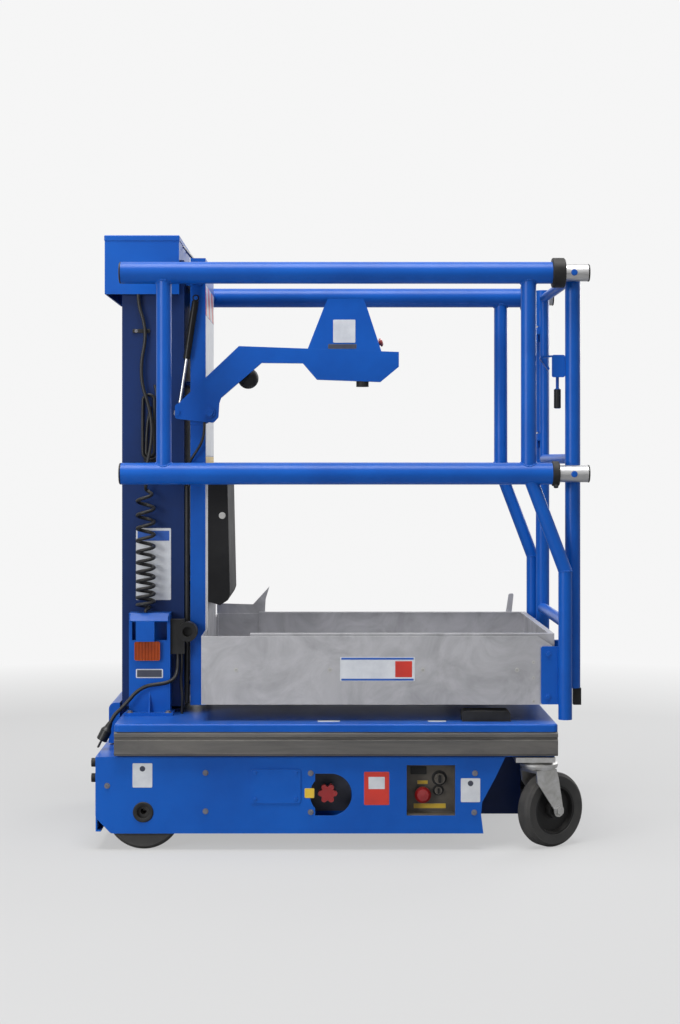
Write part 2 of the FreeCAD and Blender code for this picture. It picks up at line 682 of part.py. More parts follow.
# Carriage front: a full-height channel on ribs in front of the outer section.
channel = [
    ("front_back", "-mast_half"), ("front_face", "-mast_half"), ("front_face", "mast_half"),
    ("front_back", "mast_half"), ("front_back", "mast_half - 5"), ("front_face - 5", "mast_half - 5"),
    ("front_face - 5", "-mast_half + 5"), ("front_back", "-mast_half + 5")]
channel = plate("front_channel", "XY", [channel], f"{FRONT_TOP} - front_bottom", ("0", "0", f"({FRONT_TOP} + front_bottom) / 2"))
ribs = [
    box(f"front_rib_{count}",
        ("mast_front", "-rib_half", f"front_bottom + 46 + {count} * rib_pitch"),
        ("front_face - 2", "rib_half", f"front_bottom + 56 + {count} * rib_pitch"))
    for count in range(5)]
keep(joined("carriage_front", [channel] + ribs))
keep(rod("slot_hose", "6.5", "560", ("mast_front + 6.8", "-mast_half + 7", "front_bottom + 4")))
keep(plate("back_pad", "XZ", [[
    ("front_face + 6", "pad_bottom + 9"), ("front_face + 38", "pad_bottom"), ("front_face + 58", "pad_bottom + 13"),
    ("front_face + 63", "pad_bottom + 27"), ("front_face + 56", "pad_top - 6"), ("front_face + 6", "pad_top")]],
    "2 * mast_half", ("0", "0", "0"), rounds=((2, 3, 4), "8")))

# Outer tray: aluminium walls and floor, open to the front for the inner one.
tray_side = [
    ("front_face", "tray_bottom"), ("tray_nose", "tray_bottom"), ("tray_nose", "tray_top - 23"),
    ("tray_nose - 37", "tray_top"), ("front_face", "tray_top")]
tray = [
    plate(f"{side}_tray_wall", "XZ", [tray_side], "tray_wall", ("0", f"{hand} * ({TRAY_HALF} - tray_wall / 2)", "0"))
    for side, hand in SIDES]
tray += [
    box("tray_floor", ("front_face", f"-{TRAY_HALF}", "tray_bottom"), ("tray_nose", TRAY_HALF, "tray_bottom + tray_wall")),
    box("tray_back", ("front_face", f"-{TRAY_HALF}", "tray_bottom"), ("front_face + tray_wall", TRAY_HALF, "tray_top")),
    box("back_plate", ("front_face", "-mast_half", "tray_bottom"), ("front_face + 6", "mast_half", "915"))]
tray += [
    box(f"tray_glide_{side}", ("inner_rear + 10", f"{hand} * 260 - 15", "tray_bottom + tray_wall"),
        ("tray_nose - 10", f"{hand} * 260 + 15", "tray_bottom + tray_wall + tray_clear - run_gap"))
    for side, hand in SIDES]
wing_line = [
    ("front_face", "tray_top - 3"), ("front_face", "tray_top + 29"), ("front_face + 103", "tray_top + 26"),
    ("front_face + 150", "tray_top + 77"), ("front_face + 139", "tray_top + 40"), ("front_face + 137", "tray_top - 3")]
tray.append(plate("far_wing", "XZ", [wing_line], "3", ("0", f"{TRAY_HALF} - 1.5", "0")))
lever_line = [
    ("lever_place", "tray_top"), ("lever_place", "tray_top + 4"), ("lever_place + 50", "tray_top + 4"),
    ("lever_place + 58", "tray_top + 56"), ("lever_place + 72", "tray_top + 58"), ("lever_place + 66", "tray_top")]
tray.append(plate("far_lever", "XZ", [lever_line], "8", ("0", f"{TRAY_HALF} - 4", "0"), rounds=((3, 4), "4")))
keep(joined("outer_tray", tray))

# Inner tray: rolls out of the outer one, its front wall closes the deck.
inner_half = f"{TRAY_HALF} - tray_wall - tray_clear"
inner_low = "tray_bottom + tray_wall + tray_clear"
inner_high = "tray_top + inner_rise"
keep(cut(
    "inner_tray",
    box("inner_block", ("inner_rear", f"-({inner_half})", inner_low), ("inner_front", inner_half, inner_high)),
    joined("inner_hollows", [
        box("inner_hollow", ("inner_rear - 1", f"-({inner_half}) + tray_wall", f"{inner_low} + tray_wall"),
            ("inner_front - tray_wall", f"{inner_half} - tray_wall", f"{inner_high} - 3")),
        box("inner_mouth", ("inner_rear - 1", f"-({inner_half}) + tray_lip", f"{inner_high} - 4"),
            ("inner_front - tray_lip", f"{inner_half} - tray_lip", f"{inner_high} + 1"))])))

# Guard rails: two blue tubes a side, closed at the back, each with an aluminium
# tube sliding in it through a bush at its front end.
RAILS = (("top", "top_rail_z", "collar_od", "collar_length"), ("mid", "mid_rail_z", "ring_od", "ring_length"))
tubes, collars, slides = [], [], []
for level, height, bush_od, bush_length in RAILS:
    for side, hand in SIDES:
        outer = rod(f"{side}_{level}_rail_bar", "rail_od / 2", "rail_front - rail_rear",
                    ("rail_rear", f"{hand} * rail_half", height), "x")
        bore = rod(f"{side}_{level}_rail_bore", "rail_od / 2 - rail_tube_wall", "rail_front - rail_rear",
                   ("rail_rear + 4", f"{hand} * rail_half", height), "x")
        tubes.append(cut(f"{side}_{level}_rail", outer, bore))
        bush = turned(f"{side}_{level}_bush", [
            ("slide_od / 2 + run_gap", "0"), (f"{bush_od} / 2 - 2", "0"), (f"{bush_od} / 2", "2"),
            (f"{bush_od} / 2", f"{bush_length} - 3"), (f"{bush_od} / 2 - 3", bush_length),
            ("slide_od / 2 + run_gap", bush_length)],
            ("rail_front", f"{hand} * rail_half", height), ((0, 1, 0), "90"))
        collars.append(bush)
        tube = rod(f"{side}_{level}_slide_bar", "slide_od / 2", "slide_front - slide_rear",
                   ("slide_rear", f"{hand} * rail_half", height), "x")
        hole = rod(f"{side}_{level}_slide_bore", "slide_od / 2 - rail_tube_wall", "slide_front - slide_rear",
                   ("slide_rear - 4", f"{hand} * rail_half", height), "x")
        slides.append(cut(f"{side}_{level}_slide", tube, hole))
keep(group("side_rails", tubes))
keep(group("rail_bushes", collars))
keep(group("slide_tubes", slides))


def rail_seats(label, hand):
    """The two rails of a side, to cope the ends of what is welded to them."""
    return joined(label, [
        rod(f"{label}_{level}", "rail_od / 2", "rail_front - rail_rear",
            ("rail_rear", f"{hand} * rail_half", height), "x")
        for level, height, bush_od, bush_length in RAILS])


posts = []
for side, hand in SIDES:
    for name, spot in (("rear", "rear_post_x"), ("front", "front_post_x")):
        bar = rod(f"{side}_{name}_post_bar", "post_od / 2", "top_rail_z - mid_rail_z",
                  (spot, f"{hand} * rail_half", "mid_rail_z"))
        posts.append(cut(f"{side}_{name}_post", bar, rail_seats(f"{side}_{name}_post_seats", hand)))
keep(group("rail_posts", posts))

# Legs: a brace leans forward from the middle rail to an upright bolted to the tray.
lean = "sqrt((leg_x - front_post_x) ^ 2 + (mid_rail_z - leg_bend_z) ^ 2)"
legs = []
lean_angle = math.degrees(math.atan2(
    number("leg_x - front_post_x"), number("mid_rail_z - leg_bend_z")))
for side, hand in SIDES:
    brace = rod(f"{side}_brace", "leg_od / 2", lean, ("leg_x", f"{hand} * rail_half", "leg_bend_z"))
    put(brace, ("leg_x", f"{hand} * rail_half", "leg_bend_z"), ((0, 1, 0), -lean_angle))
    knee = doc.addObject("Part::Sphere", f"{side}_knee")
    knee.setExpression("Radius", bound("leg_od / 2"))
    put(knee, ("leg_x", f"{hand} * rail_half", "leg_bend_z"))
    upright = rod(f"{side}_upright", "leg_od / 2", "leg_bend_z - leg_bottom",
                  ("leg_x", f"{hand} * rail_half", "leg_bottom"))
    flange = plate(f"{side}_flange", "XZ", [
        frame_loop("leg_x - 59", "tray_bottom + 1", "leg_x - 8", "tray_bottom + 145")],
        "6", ("0", f"{hand} * ({TRAY_HALF} + 3)", "0"), rounds=((0, 3), "6"))
    legs.append(cut(f"{side}_rail_leg", joined(f"{side}_leg_welded", [brace, knee, upright, flange]),
                    rail_seats(f"{side}_leg_seats", hand)))
keep(group("rail_legs", legs))

# Cross arms carry the rails from the sides of the carriage channel.
arms = []
for side, hand in SIDES:
    for level, height, bush_od, bush_length in RAILS:
        start = "mast_half" if hand == "1" else "-rail_half"
        arms.append(cut(
            f"{side}_{level}_cross_arm",
            rod(f"{side}_{level}_cross_bar", "17", "rail_half - mast_half", ("front_face - 20", start, height), "y"),
            rail_seats(f"{side}_{level}_cross_seats", hand)))
keep(group("rail_cross_arms", arms))

# Control arm: a flat pressed web that pivots beside the carriage, flanged along its
# reach, the console on its end. Its outlines are measured from the pivot, in X and Z.
arm_line = [
    ("-strut_arm - 8", "-15"), ("-strut_arm - 8", "20"), ("-strut_arm + 2", "25"), ("75", "171"),
    ("arm_reach", "156"), ("arm_reach", "118"), ("arm_reach - 47", "79"), ("275", "85"), ("239", "127"),
    ("133", "128"), ("30", "39"), ("25", "24"), ("23", "-12"), ("10", "-26")]
arm_at = ("arm_pivot_x", f"-{ARM_OUT} + arm_wall / 2", "arm_pivot_z")
flange_at = ("arm_pivot_x", f"-{ARM_OUT} + arm_width / 2", "arm_pivot_z")
web = plate("arm_web", "XZ", [arm_line, ("circle", "0", "0", "8 + run_gap")], "arm_wall", arm_at,
            rounds=((0, 1, 12, 13), "9"))
flange_line = [
    ("95", "170.2"), ("arm_reach", "156"), ("arm_reach", "118"), ("arm_reach - 47", "79"), ("275", "85"),
    ("239", "127"), ("133", "128"), ("30", "39"),
    ("27.4", "42"), ("131.5", "132"), ("241", "131"), ("277", "89"), ("arm_reach - 48.5", "83"),
    ("arm_reach - 4", "120"), ("arm_reach - 4", "152"), ("95", "166.3")]
flange = plate("arm_flange", "XZ", [flange_line], "arm_width", flange_at)
tail_pin = rod("arm_tail_pin", "4", "15", (STRUT_EYE_X, f"-{ARM_OUT} + 3", "arm_pivot_z"), "y")
keep(joined("control_arm", [web, flange, tail_pin]))
arm_block = plate("arm_block", "XZ", [arm_line], f"2 * {ARM_OUT}", ("arm_pivot_x", "0", "arm_pivot_z"))
console_line = [
    ("console_rear + 54", "292"), ("console_rear + 43", "268"), ("console_rear", "158"), ("console_rear", "149"),
    ("console_rear + 191", "149"), ("console_rear + 191", "158"), ("console_rear + 155", "268"),
    ("console_rear + 145", "292")]
console = plate("console_case", "XZ", [console_line], "console_width",
                ("arm_pivot_x", f"-{ARM_OUT} + console_width / 2", "arm_pivot_z"), rounds=((0, 1, 6, 7), "5"))
keep(cut("console", console, arm_block))
face_lean = math.degrees(math.atan2(36, 110))
keep(turned("console_stop", [
    ("0", "seat_gap"), ("7", "seat_gap"), ("7", "4"), ("11", "5"), ("11", "9"), ("7", "12"), ("0", "13")],
    ("arm_pivot_x + console_rear + 191 - 0.2 * 36", f"-{ARM_OUT} + 34", "arm_pivot_z + 158 + 0.2 * 110"),
    ((0, 1, 0), 90 - face_lean)))
ball = doc.addObject("Part::Sphere", "buffer_ball")
ball.setExpression("Radius", bound("buffer_radius"))
put(ball, ("arm_pivot_x + 97", f"-{ARM_OUT} + arm_width + buffer_radius + run_gap", "arm_pivot_z + 90"))
stem = rod("buffer_stem", "5", "30", ("arm_pivot_x + 95", f"-{ARM_OUT} + arm_wall", "arm_pivot_z + 108"), "y")
foot = rod("tail_foot", "16", "14", ("arm_pivot_x + arm_reach - 93", f"-{ARM_OUT} + 16", "arm_pivot_z + 67"))
keep(group("arm_buffers", [
    joined("arm_ball", [ball, stem]),
    cut("arm_foot", foot, arm_block)]))

# Bracket on the carriage's side: pivot pin of the arm and top stud of the strut.
bracket = plate("pivot_plate", "XZ", [[
    ("front_back", "arm_pivot_z - 30"), ("arm_pivot_x - 14", "arm_pivot_z - 30"),
    ("arm_pivot_x + 16", "arm_pivot_z - 14"), ("arm_pivot_x + 16", "arm_pivot_z + 14"),
    ("arm_pivot_x - 14", "arm_pivot_z + 30"), ("front_back", "arm_pivot_z + 30")]],
    "6", ("0", "-mast_half - 3", "0"), rounds=((2, 3), "10"))
pivot_pin = rod("pivot_pin", "8", f"{ARM_OUT} - mast_half + 5", ("arm_pivot_x", f"-{ARM_OUT} - 5", "arm_pivot_z"), "y")
pivot_boss = rod("pivot_boss", "13", f"{ARM_OUT} - arm_wall - run_gap - mast_half - 3",
                 ("arm_pivot_x", f"-{ARM_OUT} + arm_wall + run_gap", "arm_pivot_z"), "y")
stud = rod("strut_stud", "5", "18", (STRUT_TOP_X, f"-{STRUT_Y} - 7", STRUT_TOP_Z), "y")
keep(group("arm_bracket", [joined("arm_bracket_welded", [bracket, pivot_pin, pivot_boss]), stud]))

# Gas strut, leaning from its stud to the pin on the arm's tail.
strut_run = f"sqrt(({STRUT_TOP_X} - {STRUT_EYE_X}) ^ 2 + ({STRUT_TOP_Z} - arm_pivot_z) ^ 2)"
strut_lean = math.degrees(math.atan2(number(f"{STRUT_EYE_X} - {STRUT_TOP_X}"), number(f"{STRUT_TOP_Z} - arm_pivot_z")))
strut_at = (STRUT_TOP_X, f"-{STRUT_Y}", STRUT_TOP_Z)
strut_turn = ((0, 1, 0), -strut_lean)


def eye(label, outer, bore, height, thick):
    ring_bar = rod(label + "_bar", outer, thick, ("0", f"-{thick} / 2", height), "y")
    ring_bore = rod(label + "_bore", bore, f"{thick} + 2", ("0", f"-{thick} / 2 - 1", height), "y")
    return ring_bar, ring_bore


top_bar, top_bore = eye("strut_top_eye", "9", "5 + run_gap", "0", "8")
barrel = rod("strut_barrel", "strut_radius", "strut_cylinder - 8", ("0", "0", "-strut_cylinder"))
barrel_bore = rod("strut_barrel_bore", "strut_rod_radius + run_gap", "120", ("0", "0", "-strut_cylinder - 1"))
barrel_hole = joined("strut_barrel_holes", [top_bore, barrel_bore])
barrel = cut("strut_cylinder_body", joined("strut_cylinder_welded", [top_bar, barrel]), barrel_hole)
barrel.Label = "strut_cylinder"
keep(put(barrel, strut_at, strut_turn))
low_bar, low_bore = eye("strut_low_eye", "11.5", "8.2", f"-({strut_run})", "7")
piston = rod("strut_piston", "strut_rod_radius", f"{strut_run} - 60 - 10", ("0", "0", f"-({strut_run}) + 10"))
piston = cut("strut_rod", joined("strut_rod_welded", [low_bar, piston]), low_bore)
keep(put(piston, strut_at, strut_turn))

# Extension: posts inside the slide tubes, a low bar between them, feet to the tray.
frame_parts = []
for side, hand in SIDES:
    frame_parts.append(rod(f"{side}_end_post", "post_od / 2", "top_rail_z + slide_od / 2 - 4 - end_post_bottom",
                           ("end_post_x", f"{hand} * {END_POST_Y}", "end_post_bottom")))
    frame_parts.append(box(f"{side}_end_foot", ("inner_front", f"{hand} * {END_POST_Y} - 8", "end_post_bottom + 6"),
                           ("end_post_x", f"{hand} * {END_POST_Y} + 8", "tray_top - 12")))
frame_parts.append(rod("low_bar", "15", f"2 * {END_POST_Y}", ("end_post_x", f"-{END_POST_Y}", "low_bar_z"), "y"))
for count in range(2):
    level = f"(knuckle_z + {count} * knuckle_pitch)"
    frame_parts.append(rod(f"post_knuckle_{count}", "7", "20 - run_gap", (HINGE_X, HINGE_Y, level)))
    frame_parts.append(box(f"post_lug_{count}", (f"{HINGE_X} + 3", f"{HINGE_Y} + 1", level),
                           ("end_post_x - 9", f"{END_POST_Y} - 6", f"{level} + 20 - run_gap")))
keep(joined("extension_frame", frame_parts))
keep(group("post_stops", [
    box(f"{side}_post_stop", ("end_post_x + 1", f"{hand} * {END_POST_Y} - 11", "end_post_bottom - 42"),
        ("end_post_x + 20", f"{hand} * {END_POST_Y} + 11", "end_post_bottom")) for side, hand in SIDES]))
latch_x, latch_y = "(end_post_x - post_od / 2 - 18)", f"(-{END_POST_Y} + 10)"
latch_plate = plate("latch_plate", "XZ", [
    frame_loop("end_post_x - post_od / 2 - 33", "latch_z - 28", "end_post_x - post_od / 2 - run_gap", "latch_z + 28")],
    "5", ("0", f"-{END_POST_Y}", "0"), rounds=((0, 1, 2, 3), "5"))
catch_line = [
    ("end_post_x - 82", "latch_z + 19"), ("end_post_x - 80", "latch_z + 25"), ("end_post_x - 51", "latch_z + 27"),
    ("end_post_x - 51", "latch_z + 23"), ("end_post_x - 75", "latch_z + 20"), ("end_post_x - 57", "latch_z - 7"),
    ("end_post_x - 61", "latch_z - 11")]
latch_catch = plate("latch_catch", "XZ", [catch_line], "18", ("0", f"-{END_POST_Y} + 7", "0"))
latch_rod = rod("latch_rod", "4", "66", (latch_x, latch_y, "latch_z - 58"))
latch_pin = rod("latch_pin", "5", "12", (latch_x, f"-{END_POST_Y}", "latch_z + 1"), "y")
latch_grip = turned("latch_grip", [("0", "0"), ("6", "0"), ("8", "6"), ("8", "44"), ("6", "50"), ("0", "50")],
                    (latch_x, latch_y, "latch_z - 106"))
keep(joined("gate_latch", [latch_plate, latch_catch, latch_rod, latch_pin, latch_grip]))

# Gate: a hoop between the end posts, hinged on the far one, opening inwards.
gate_parts = [
    rod(f"{side}_gate_stile", "gate_od / 2", f"{GATE_TOP} - {GATE_LOW}", ("end_post_x", f"{hand} * {STILE_Y}", GATE_LOW))
    for side, hand in SIDES]
for level in (GATE_LOW, GATE_TOP):
    gate_parts.append(rod(f"gate_bar_{level}", "gate_od / 2", f"2 * {STILE_Y}", ("end_post_x", f"-{STILE_Y}", level), "y"))
    for side, hand in SIDES:
        corner = doc.addObject("Part::Sphere", f"gate_corner_{side}_{level}")
        corner.setExpression("Radius", bound("gate_od / 2"))
        gate_parts.append(put(corner, ("end_post_x", f"{hand} * {STILE_Y}", level)))
for count in range(2):
    level = f"(knuckle_z + {count} * knuckle_pitch + 20)"
    gate_parts.append(rod(f"gate_knuckle_{count}", "7", "20", (HINGE_X, HINGE_Y, level)))
    gate_parts.append(box(f"gate_lug_{count}", (HINGE_X, f"{STILE_Y} - 4", level),
                          ("end_post_x - 5", f"{HINGE_Y} - 4", f"{level} + 20")))
keep(joined("gate_frame", gate_parts))

# Pillars stand beside the mast's foot: a folded box with a hooded mouth, a flap
# hanging in front of it, a lamp below and a ribbed foot.
pillars, lamps = [], []
for side, hand in SIDES:
    def across(near, far, hand=hand):
        return (near, far) if hand == "1" else (f"-({far})", f"-({near})")
    y_low, y_high = across(PILLAR_IN, PILLAR_OUT)
    hollow_low, hollow_high = across(f"{PILLAR_IN} + pillar_wall", f"{PILLAR_OUT} - pillar_wall")
    mouth_low, mouth_high = across(f"{PILLAR_OUT} - pillar_wall - 1", f"{PILLAR_OUT} + 1")
    foot_low, foot_high = across(PILLAR_IN, f"{PILLAR_OUT} + 20")
    foot_top = "(deck_top + pillar_foot)"
    block = box(f"{side}_pillar_block", ("pillar_rear", y_low, foot_top), ("pillar_front", y_high, "pillar_top"))
    hollow = box(f"{side}_pillar_hollow", ("pillar_rear + pillar_wall", hollow_low, f"{foot_top} - 1"),
                 ("pillar_front - pillar_wall", hollow_high, "pillar_top - pillar_wall"))
    mouth = box(f"{side}_pillar_mouth", ("pillar_rear + 8", mouth_low, "pillar_top - 69"),
                ("pillar_front - 8", mouth_high, "pillar_top - 12"))
    shell = cut(f"{side}_pillar_shell", block, joined(f"{side}_pillar_holes", [hollow, mouth]))
    foot = box(f"{side}_pillar_foot", ("pillar_rear - 8", foot_low, "deck_top"), ("pillar_front + 8", foot_high, foot_top))
    visor_line = [
        (PILLAR_OUT, "pillar_top"), (f"{PILLAR_OUT} + visor_reach", "pillar_top - 18"),
        (f"{PILLAR_OUT} + visor_reach - 2", "pillar_top - 21"), (PILLAR_OUT, "pillar_top - 4")]
    flap_line = [
        (f"{PILLAR_OUT} + visor_reach", "pillar_top - 18"), (f"{PILLAR_OUT} + visor_reach", "pillar_top - 71"),
        (f"{PILLAR_OUT} + visor_reach - 3", "pillar_top - 71"), (f"{PILLAR_OUT} + visor_reach - 3", "pillar_top - 20")]
    rib_line = [(PILLAR_OUT, f"{foot_top} + 50"), (PILLAR_OUT, foot_top), (f"{PILLAR_OUT} + 18", foot_top)]
    sheets = [
        plate(f"{side}_{name}", "YZ", [[(f"{hand} * ({y})", z) for y, z in line]], width, (middle, "0", "0"))
        for name, line, width, middle in (
            ("visor", visor_line, "pillar_front - pillar_rear - 8", "(pillar_rear + pillar_front) / 2"),
            ("flap", flap_line, "47", "pillar_rear + 43"), ("rib", rib_line, "3", "pillar_rear + 53"))]
    pillars.append(joined(f"{side}_pillar", [shell, foot] + sheets))
    lamps.append(plate(
        f"{side}_lamp", "XZ", [
            frame_loop("pillar_rear + 15", "pillar_top - 120", "pillar_rear + 80", "pillar_top - 72")], "12",
        ("0", f"{hand} * ({PILLAR_OUT} + 6)", "0"), rounds=((0, 1, 2, 3), "5")))
keep(group("pillars", pillars))
keep(group("pillar_lamps", lamps))
guide_body = box("guide_body", ("pillar_front", f"-{PILLAR_OUT} + 10", "pillar_top - 105"),
                 ("pillar_front + 36", f"-{PILLAR_OUT} + 34", "pillar_top - 17"))
ring_at = ("pillar_front + 44", "pillar_top - 48")
guide_ring = rod("guide_ring", "25", "34", (ring_at[0], f"-{PILLAR_OUT}", ring_at[1]), "y")
guide_bore = rod("guide_bore", "13", "20", (ring_at[0], f"-{PILLAR_OUT} - 1", ring_at[1]), "y")
keep(cut("cable_guide", joined("guide_moulding", [guide_body, guide_ring]), guide_bore))


def cord_tube(label, route, diameter):
    """A round cord along straight runs joined by tangent arcs."""
    points = [FreeCAD.Vector(*point) for point in route]
    edges, start, radii = [], points[0], []
    for before, corner, after in zip(points, points[1:], points[2:]):
        back, ahead = (before - corner), (after - corner)
        shorter = min(back.Length, ahead.Length)
        back.normalize()
        ahead.normalize()
        half_turn = (math.pi - back.getAngle(ahead)) / 2
        reach = 0.45 * shorter
        radius = reach / math.tan(half_turn)
        middle = (back + ahead).normalize() * (radius / math.cos(half_turn) - radius)
        radii.append(round(radius))
        edges.append(Part.LineSegment(start, corner + back * reach).toShape())
        edges.append(Part.Arc(corner + back * reach, corner + middle, corner + ahead * reach).toShape())
        start = corner + ahead * reach
    edges.append(Part.LineSegment(start, points[-1]).toShape())
    path = Part.Wire(edges)
    disc = Part.Face(Part.Wire(Part.Circle(points[0], points[1] - points[0], diameter / 2).toShape()))
    item = doc.addObject("Part::Feature", label)
    item.Label = label
    item.Shape = path.makePipe(disc)
    ideal = math.pi * diameter ** 2 / 4 * path.Length
    print(label, "length", round(path.Length), "radii", radii, "volume", round(item.Shape.Volume / ideal, 4))
    return keep(item)


# Cords: the coiled control cord hangs beside the mast from a loop of cable, the
# charging lead falls over the rear edge of the top plate with its plug.
curly_low = "pillar_top + run_gap"
keep(rod("curly_cord", "curly_od / 2", "curly_length", ("curly_x", f"-{CURLY_Y}", curly_low)))
hang_top, hang_foot = number(HOOD_BOTTOM) - 0.3, number(f"{curly_low} + curly_length") + 0.3
hang_y = number("-mast_half - 12")
cord_tube("hanging_cable", [
    (-515, hang_y, hang_top), (-514, hang_y, 1360), (-499, hang_y - 1, 1318), (-496, hang_y - 2, 1272),
    (-507, hang_y - 3, 1220), (-506, hang_y - 4, 1160), (-489, hang_y - 6, 1110), (-478, hang_y - 8, 1052),
    (-482, hang_y - 12, 995), (-493, hang_y - 18, 948), (-494, -number(CURLY_Y), hang_foot)],
    number("cable_od"))
lead_route = [
    (-412, -203, 469.7), (-412, -204, 446), (-413, -213, 425), (-418, -230, 408), (-437, -244, 399),
    (-462, -247, 396), (-489, -246, 392), (-514, -246, 377), (-533, -247, 355), (-551, -249, 335),
    (-569, -251, 320), (-579, -252, 300)]
cord_tube("mains_lead", lead_route, number("lead_od"))
plug_body = turned("plug_body", [
    ("0", "0"), ("lead_od / 2 + 1", "0"), ("9", "-14"), ("14", "-22"), ("14", "-48"), ("12", "-50"), ("0", "-50")],
    ("0", "0", "0"))
plug_pins = [rod(f"plug_pin_{count}", "2.4", "20", ("0", way, "-69")) for count, way in enumerate(("-9.5", "9.5"))]
plug = joined("mains_plug", [plug_body] + plug_pins)
lead_end, lead_before = FreeCAD.Vector(*lead_route[-1]), FreeCAD.Vector(*lead_route[-2])
plug.Placement = FreeCAD.Placement(
    lead_end, FreeCAD.Rotation(FreeCAD.Vector(0, 0, -1), lead_end - lead_before))
keep(plug)

doc.recompute()
faults = [item.Name for item in doc.Objects if "Invalid" in item.State or "Error" in item.State]
for item in NODES:
    if item.Shape.isNull() or not item.Shape.isValid():
        faults.append(item.Label)
if faults:
    raise SystemExit(f"these failed: {faults}")
os.makedirs("parts", exist_ok=True)
for item in NODES:
    item.Shape.exportStep(f"parts/{item.Label}.step")
    print(item.Label, len(item.Shape.Solids), round(item.Shape.Volume / 1000), "cm3")
print(len(NODES), "sub-parts")
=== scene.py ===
# %% [markdown]
# # Dressing a vertical mast lift
# The CAD model gives a small self-propelled mast lift as plain solids. In this lesson
# it gets its camera, its cords, its paint and metal, and the small things that solids
# leave out: screws, welds, end caps, labels without words, a patterned deck.
# Everything is in metres, in the CAD frame: +X runs from the mast to the casters,
# the near side is -Y, +Z is up.

# %% Load the frame
import math
import bmesh
import bpy
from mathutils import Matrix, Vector


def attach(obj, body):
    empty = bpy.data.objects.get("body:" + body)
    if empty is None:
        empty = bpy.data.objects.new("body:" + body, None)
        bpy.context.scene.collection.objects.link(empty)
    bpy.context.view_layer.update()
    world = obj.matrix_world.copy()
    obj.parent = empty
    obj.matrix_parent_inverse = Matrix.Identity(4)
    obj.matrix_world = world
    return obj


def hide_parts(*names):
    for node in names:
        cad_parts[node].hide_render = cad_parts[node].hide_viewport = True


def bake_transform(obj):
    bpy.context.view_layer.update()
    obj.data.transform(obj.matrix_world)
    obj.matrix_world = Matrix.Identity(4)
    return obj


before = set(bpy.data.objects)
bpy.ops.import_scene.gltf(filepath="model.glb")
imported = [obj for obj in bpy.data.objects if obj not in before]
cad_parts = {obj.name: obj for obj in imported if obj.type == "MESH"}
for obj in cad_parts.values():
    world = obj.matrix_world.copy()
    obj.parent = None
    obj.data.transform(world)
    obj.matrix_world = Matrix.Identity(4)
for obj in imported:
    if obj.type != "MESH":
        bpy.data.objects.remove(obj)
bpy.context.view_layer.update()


def mm(x, y, z):
    """A point given in millimetres, as on the drawing."""
    return Vector((x, y, z)) / 1000


def put(name, data):
    """A new object in the scene that shows the data."""
    item = bpy.data.objects.new(name, data)
    bpy.context.scene.collection.objects.link(item)
    return item


# %% [markdown]
# ## The camera
# The photograph looks square at the near side from about four and a half metres.
# Lines that run away from the camera meet a little left of the picture's middle and
# above it, so the camera itself stays level and the lens is shifted instead. The
# focal length comes from two known widths at two depths, the near and the far rail.

# %% Camera at the photograph's place
PICTURE = (680, 1024)
FOCAL_PIXELS = 1815
VANISHING = (322, 460)
SENSOR = 36
CAMERA_PLACE = mm(-43, -4850, 965)

lens = bpy.data.cameras.new("camera")
lens.sensor_width = SENSOR
lens.lens = FOCAL_PIXELS / PICTURE[1] * SENSOR
lens.shift_x = (PICTURE[0] / 2 - VANISHING[0]) / PICTURE[1]
lens.shift_y = (VANISHING[1] - PICTURE[1] / 2) / PICTURE[1]
camera = put("camera", lens)
camera.location = CAMERA_PLACE
camera.rotation_euler = (math.radians(90), 0, 0)
bpy.context.scene.camera = camera
print("lens", round(lens.lens, 1), "mm, shift", round(lens.shift_x, 4), round(lens.shift_y, 4))


# %% [markdown]
# ## Nodes in one line each
# Shader trees and Geometry Nodes trees are built the same way: a node, its options,
# and its inputs, each of which is a number or another node's output. One helper does
# both, so that each tree below reads like a list of steps.

# %% A helper for any node tree
def fill(tree, node, sockets):
    """Sets a node's inputs: to a value, an output, or a node, which stands for its first output."""
    for key, value in sockets.items():
        if isinstance(value, bpy.types.Node):
            value = value.outputs[0]
        if isinstance(value, bpy.types.NodeSocket):
            tree.links.new(value, node.inputs[key])
        else:
            node.inputs[key].default_value = value


def add(tree, kind, sockets=None, **options):
    """A new node. The options come first, because some of them bring its sockets."""
    node = tree.nodes.new(kind)
    for option, value in options.items():
        setattr(node, option, value)
    fill(tree, node, sockets or {})
    return node


def calc(tree, operation, first, second):
    return add(tree, "ShaderNodeMath", {0: first, 1: second}, operation=operation)


def ramp(tree, value, start, end):
    """Where a value lies between start and end, from 0 to 1."""
    return add(tree, "ShaderNodeMapRange", {"Value": value, "From Min": start, "From Max": end})


def tint(tree, mask, under, over):
    return add(tree, "ShaderNodeMix", {0: mask, 6: under, 7: over}, data_type="RGBA").outputs[2]


def new_group(name, kind, inputs, outputs):
    """An empty node group with named inputs and outputs."""
    group = bpy.data.node_groups.new(name, kind)
    for label, socket_type, default in inputs:
        socket = group.interface.new_socket(label, in_out="INPUT", socket_type=socket_type)
        if default is not None:
            socket.default_value = default
    for label, socket_type in outputs:
        group.interface.new_socket(label, in_out="OUTPUT", socket_type=socket_type)
    return group, add(group, "NodeGroupInput").outputs, add(group, "NodeGroupOutput")


COLOUR, NUMBER, VECTOR = "NodeSocketColor", "NodeSocketFloat", "NodeSocketVector"
print("helpers: fill, add, calc, ramp, tint, new_group")
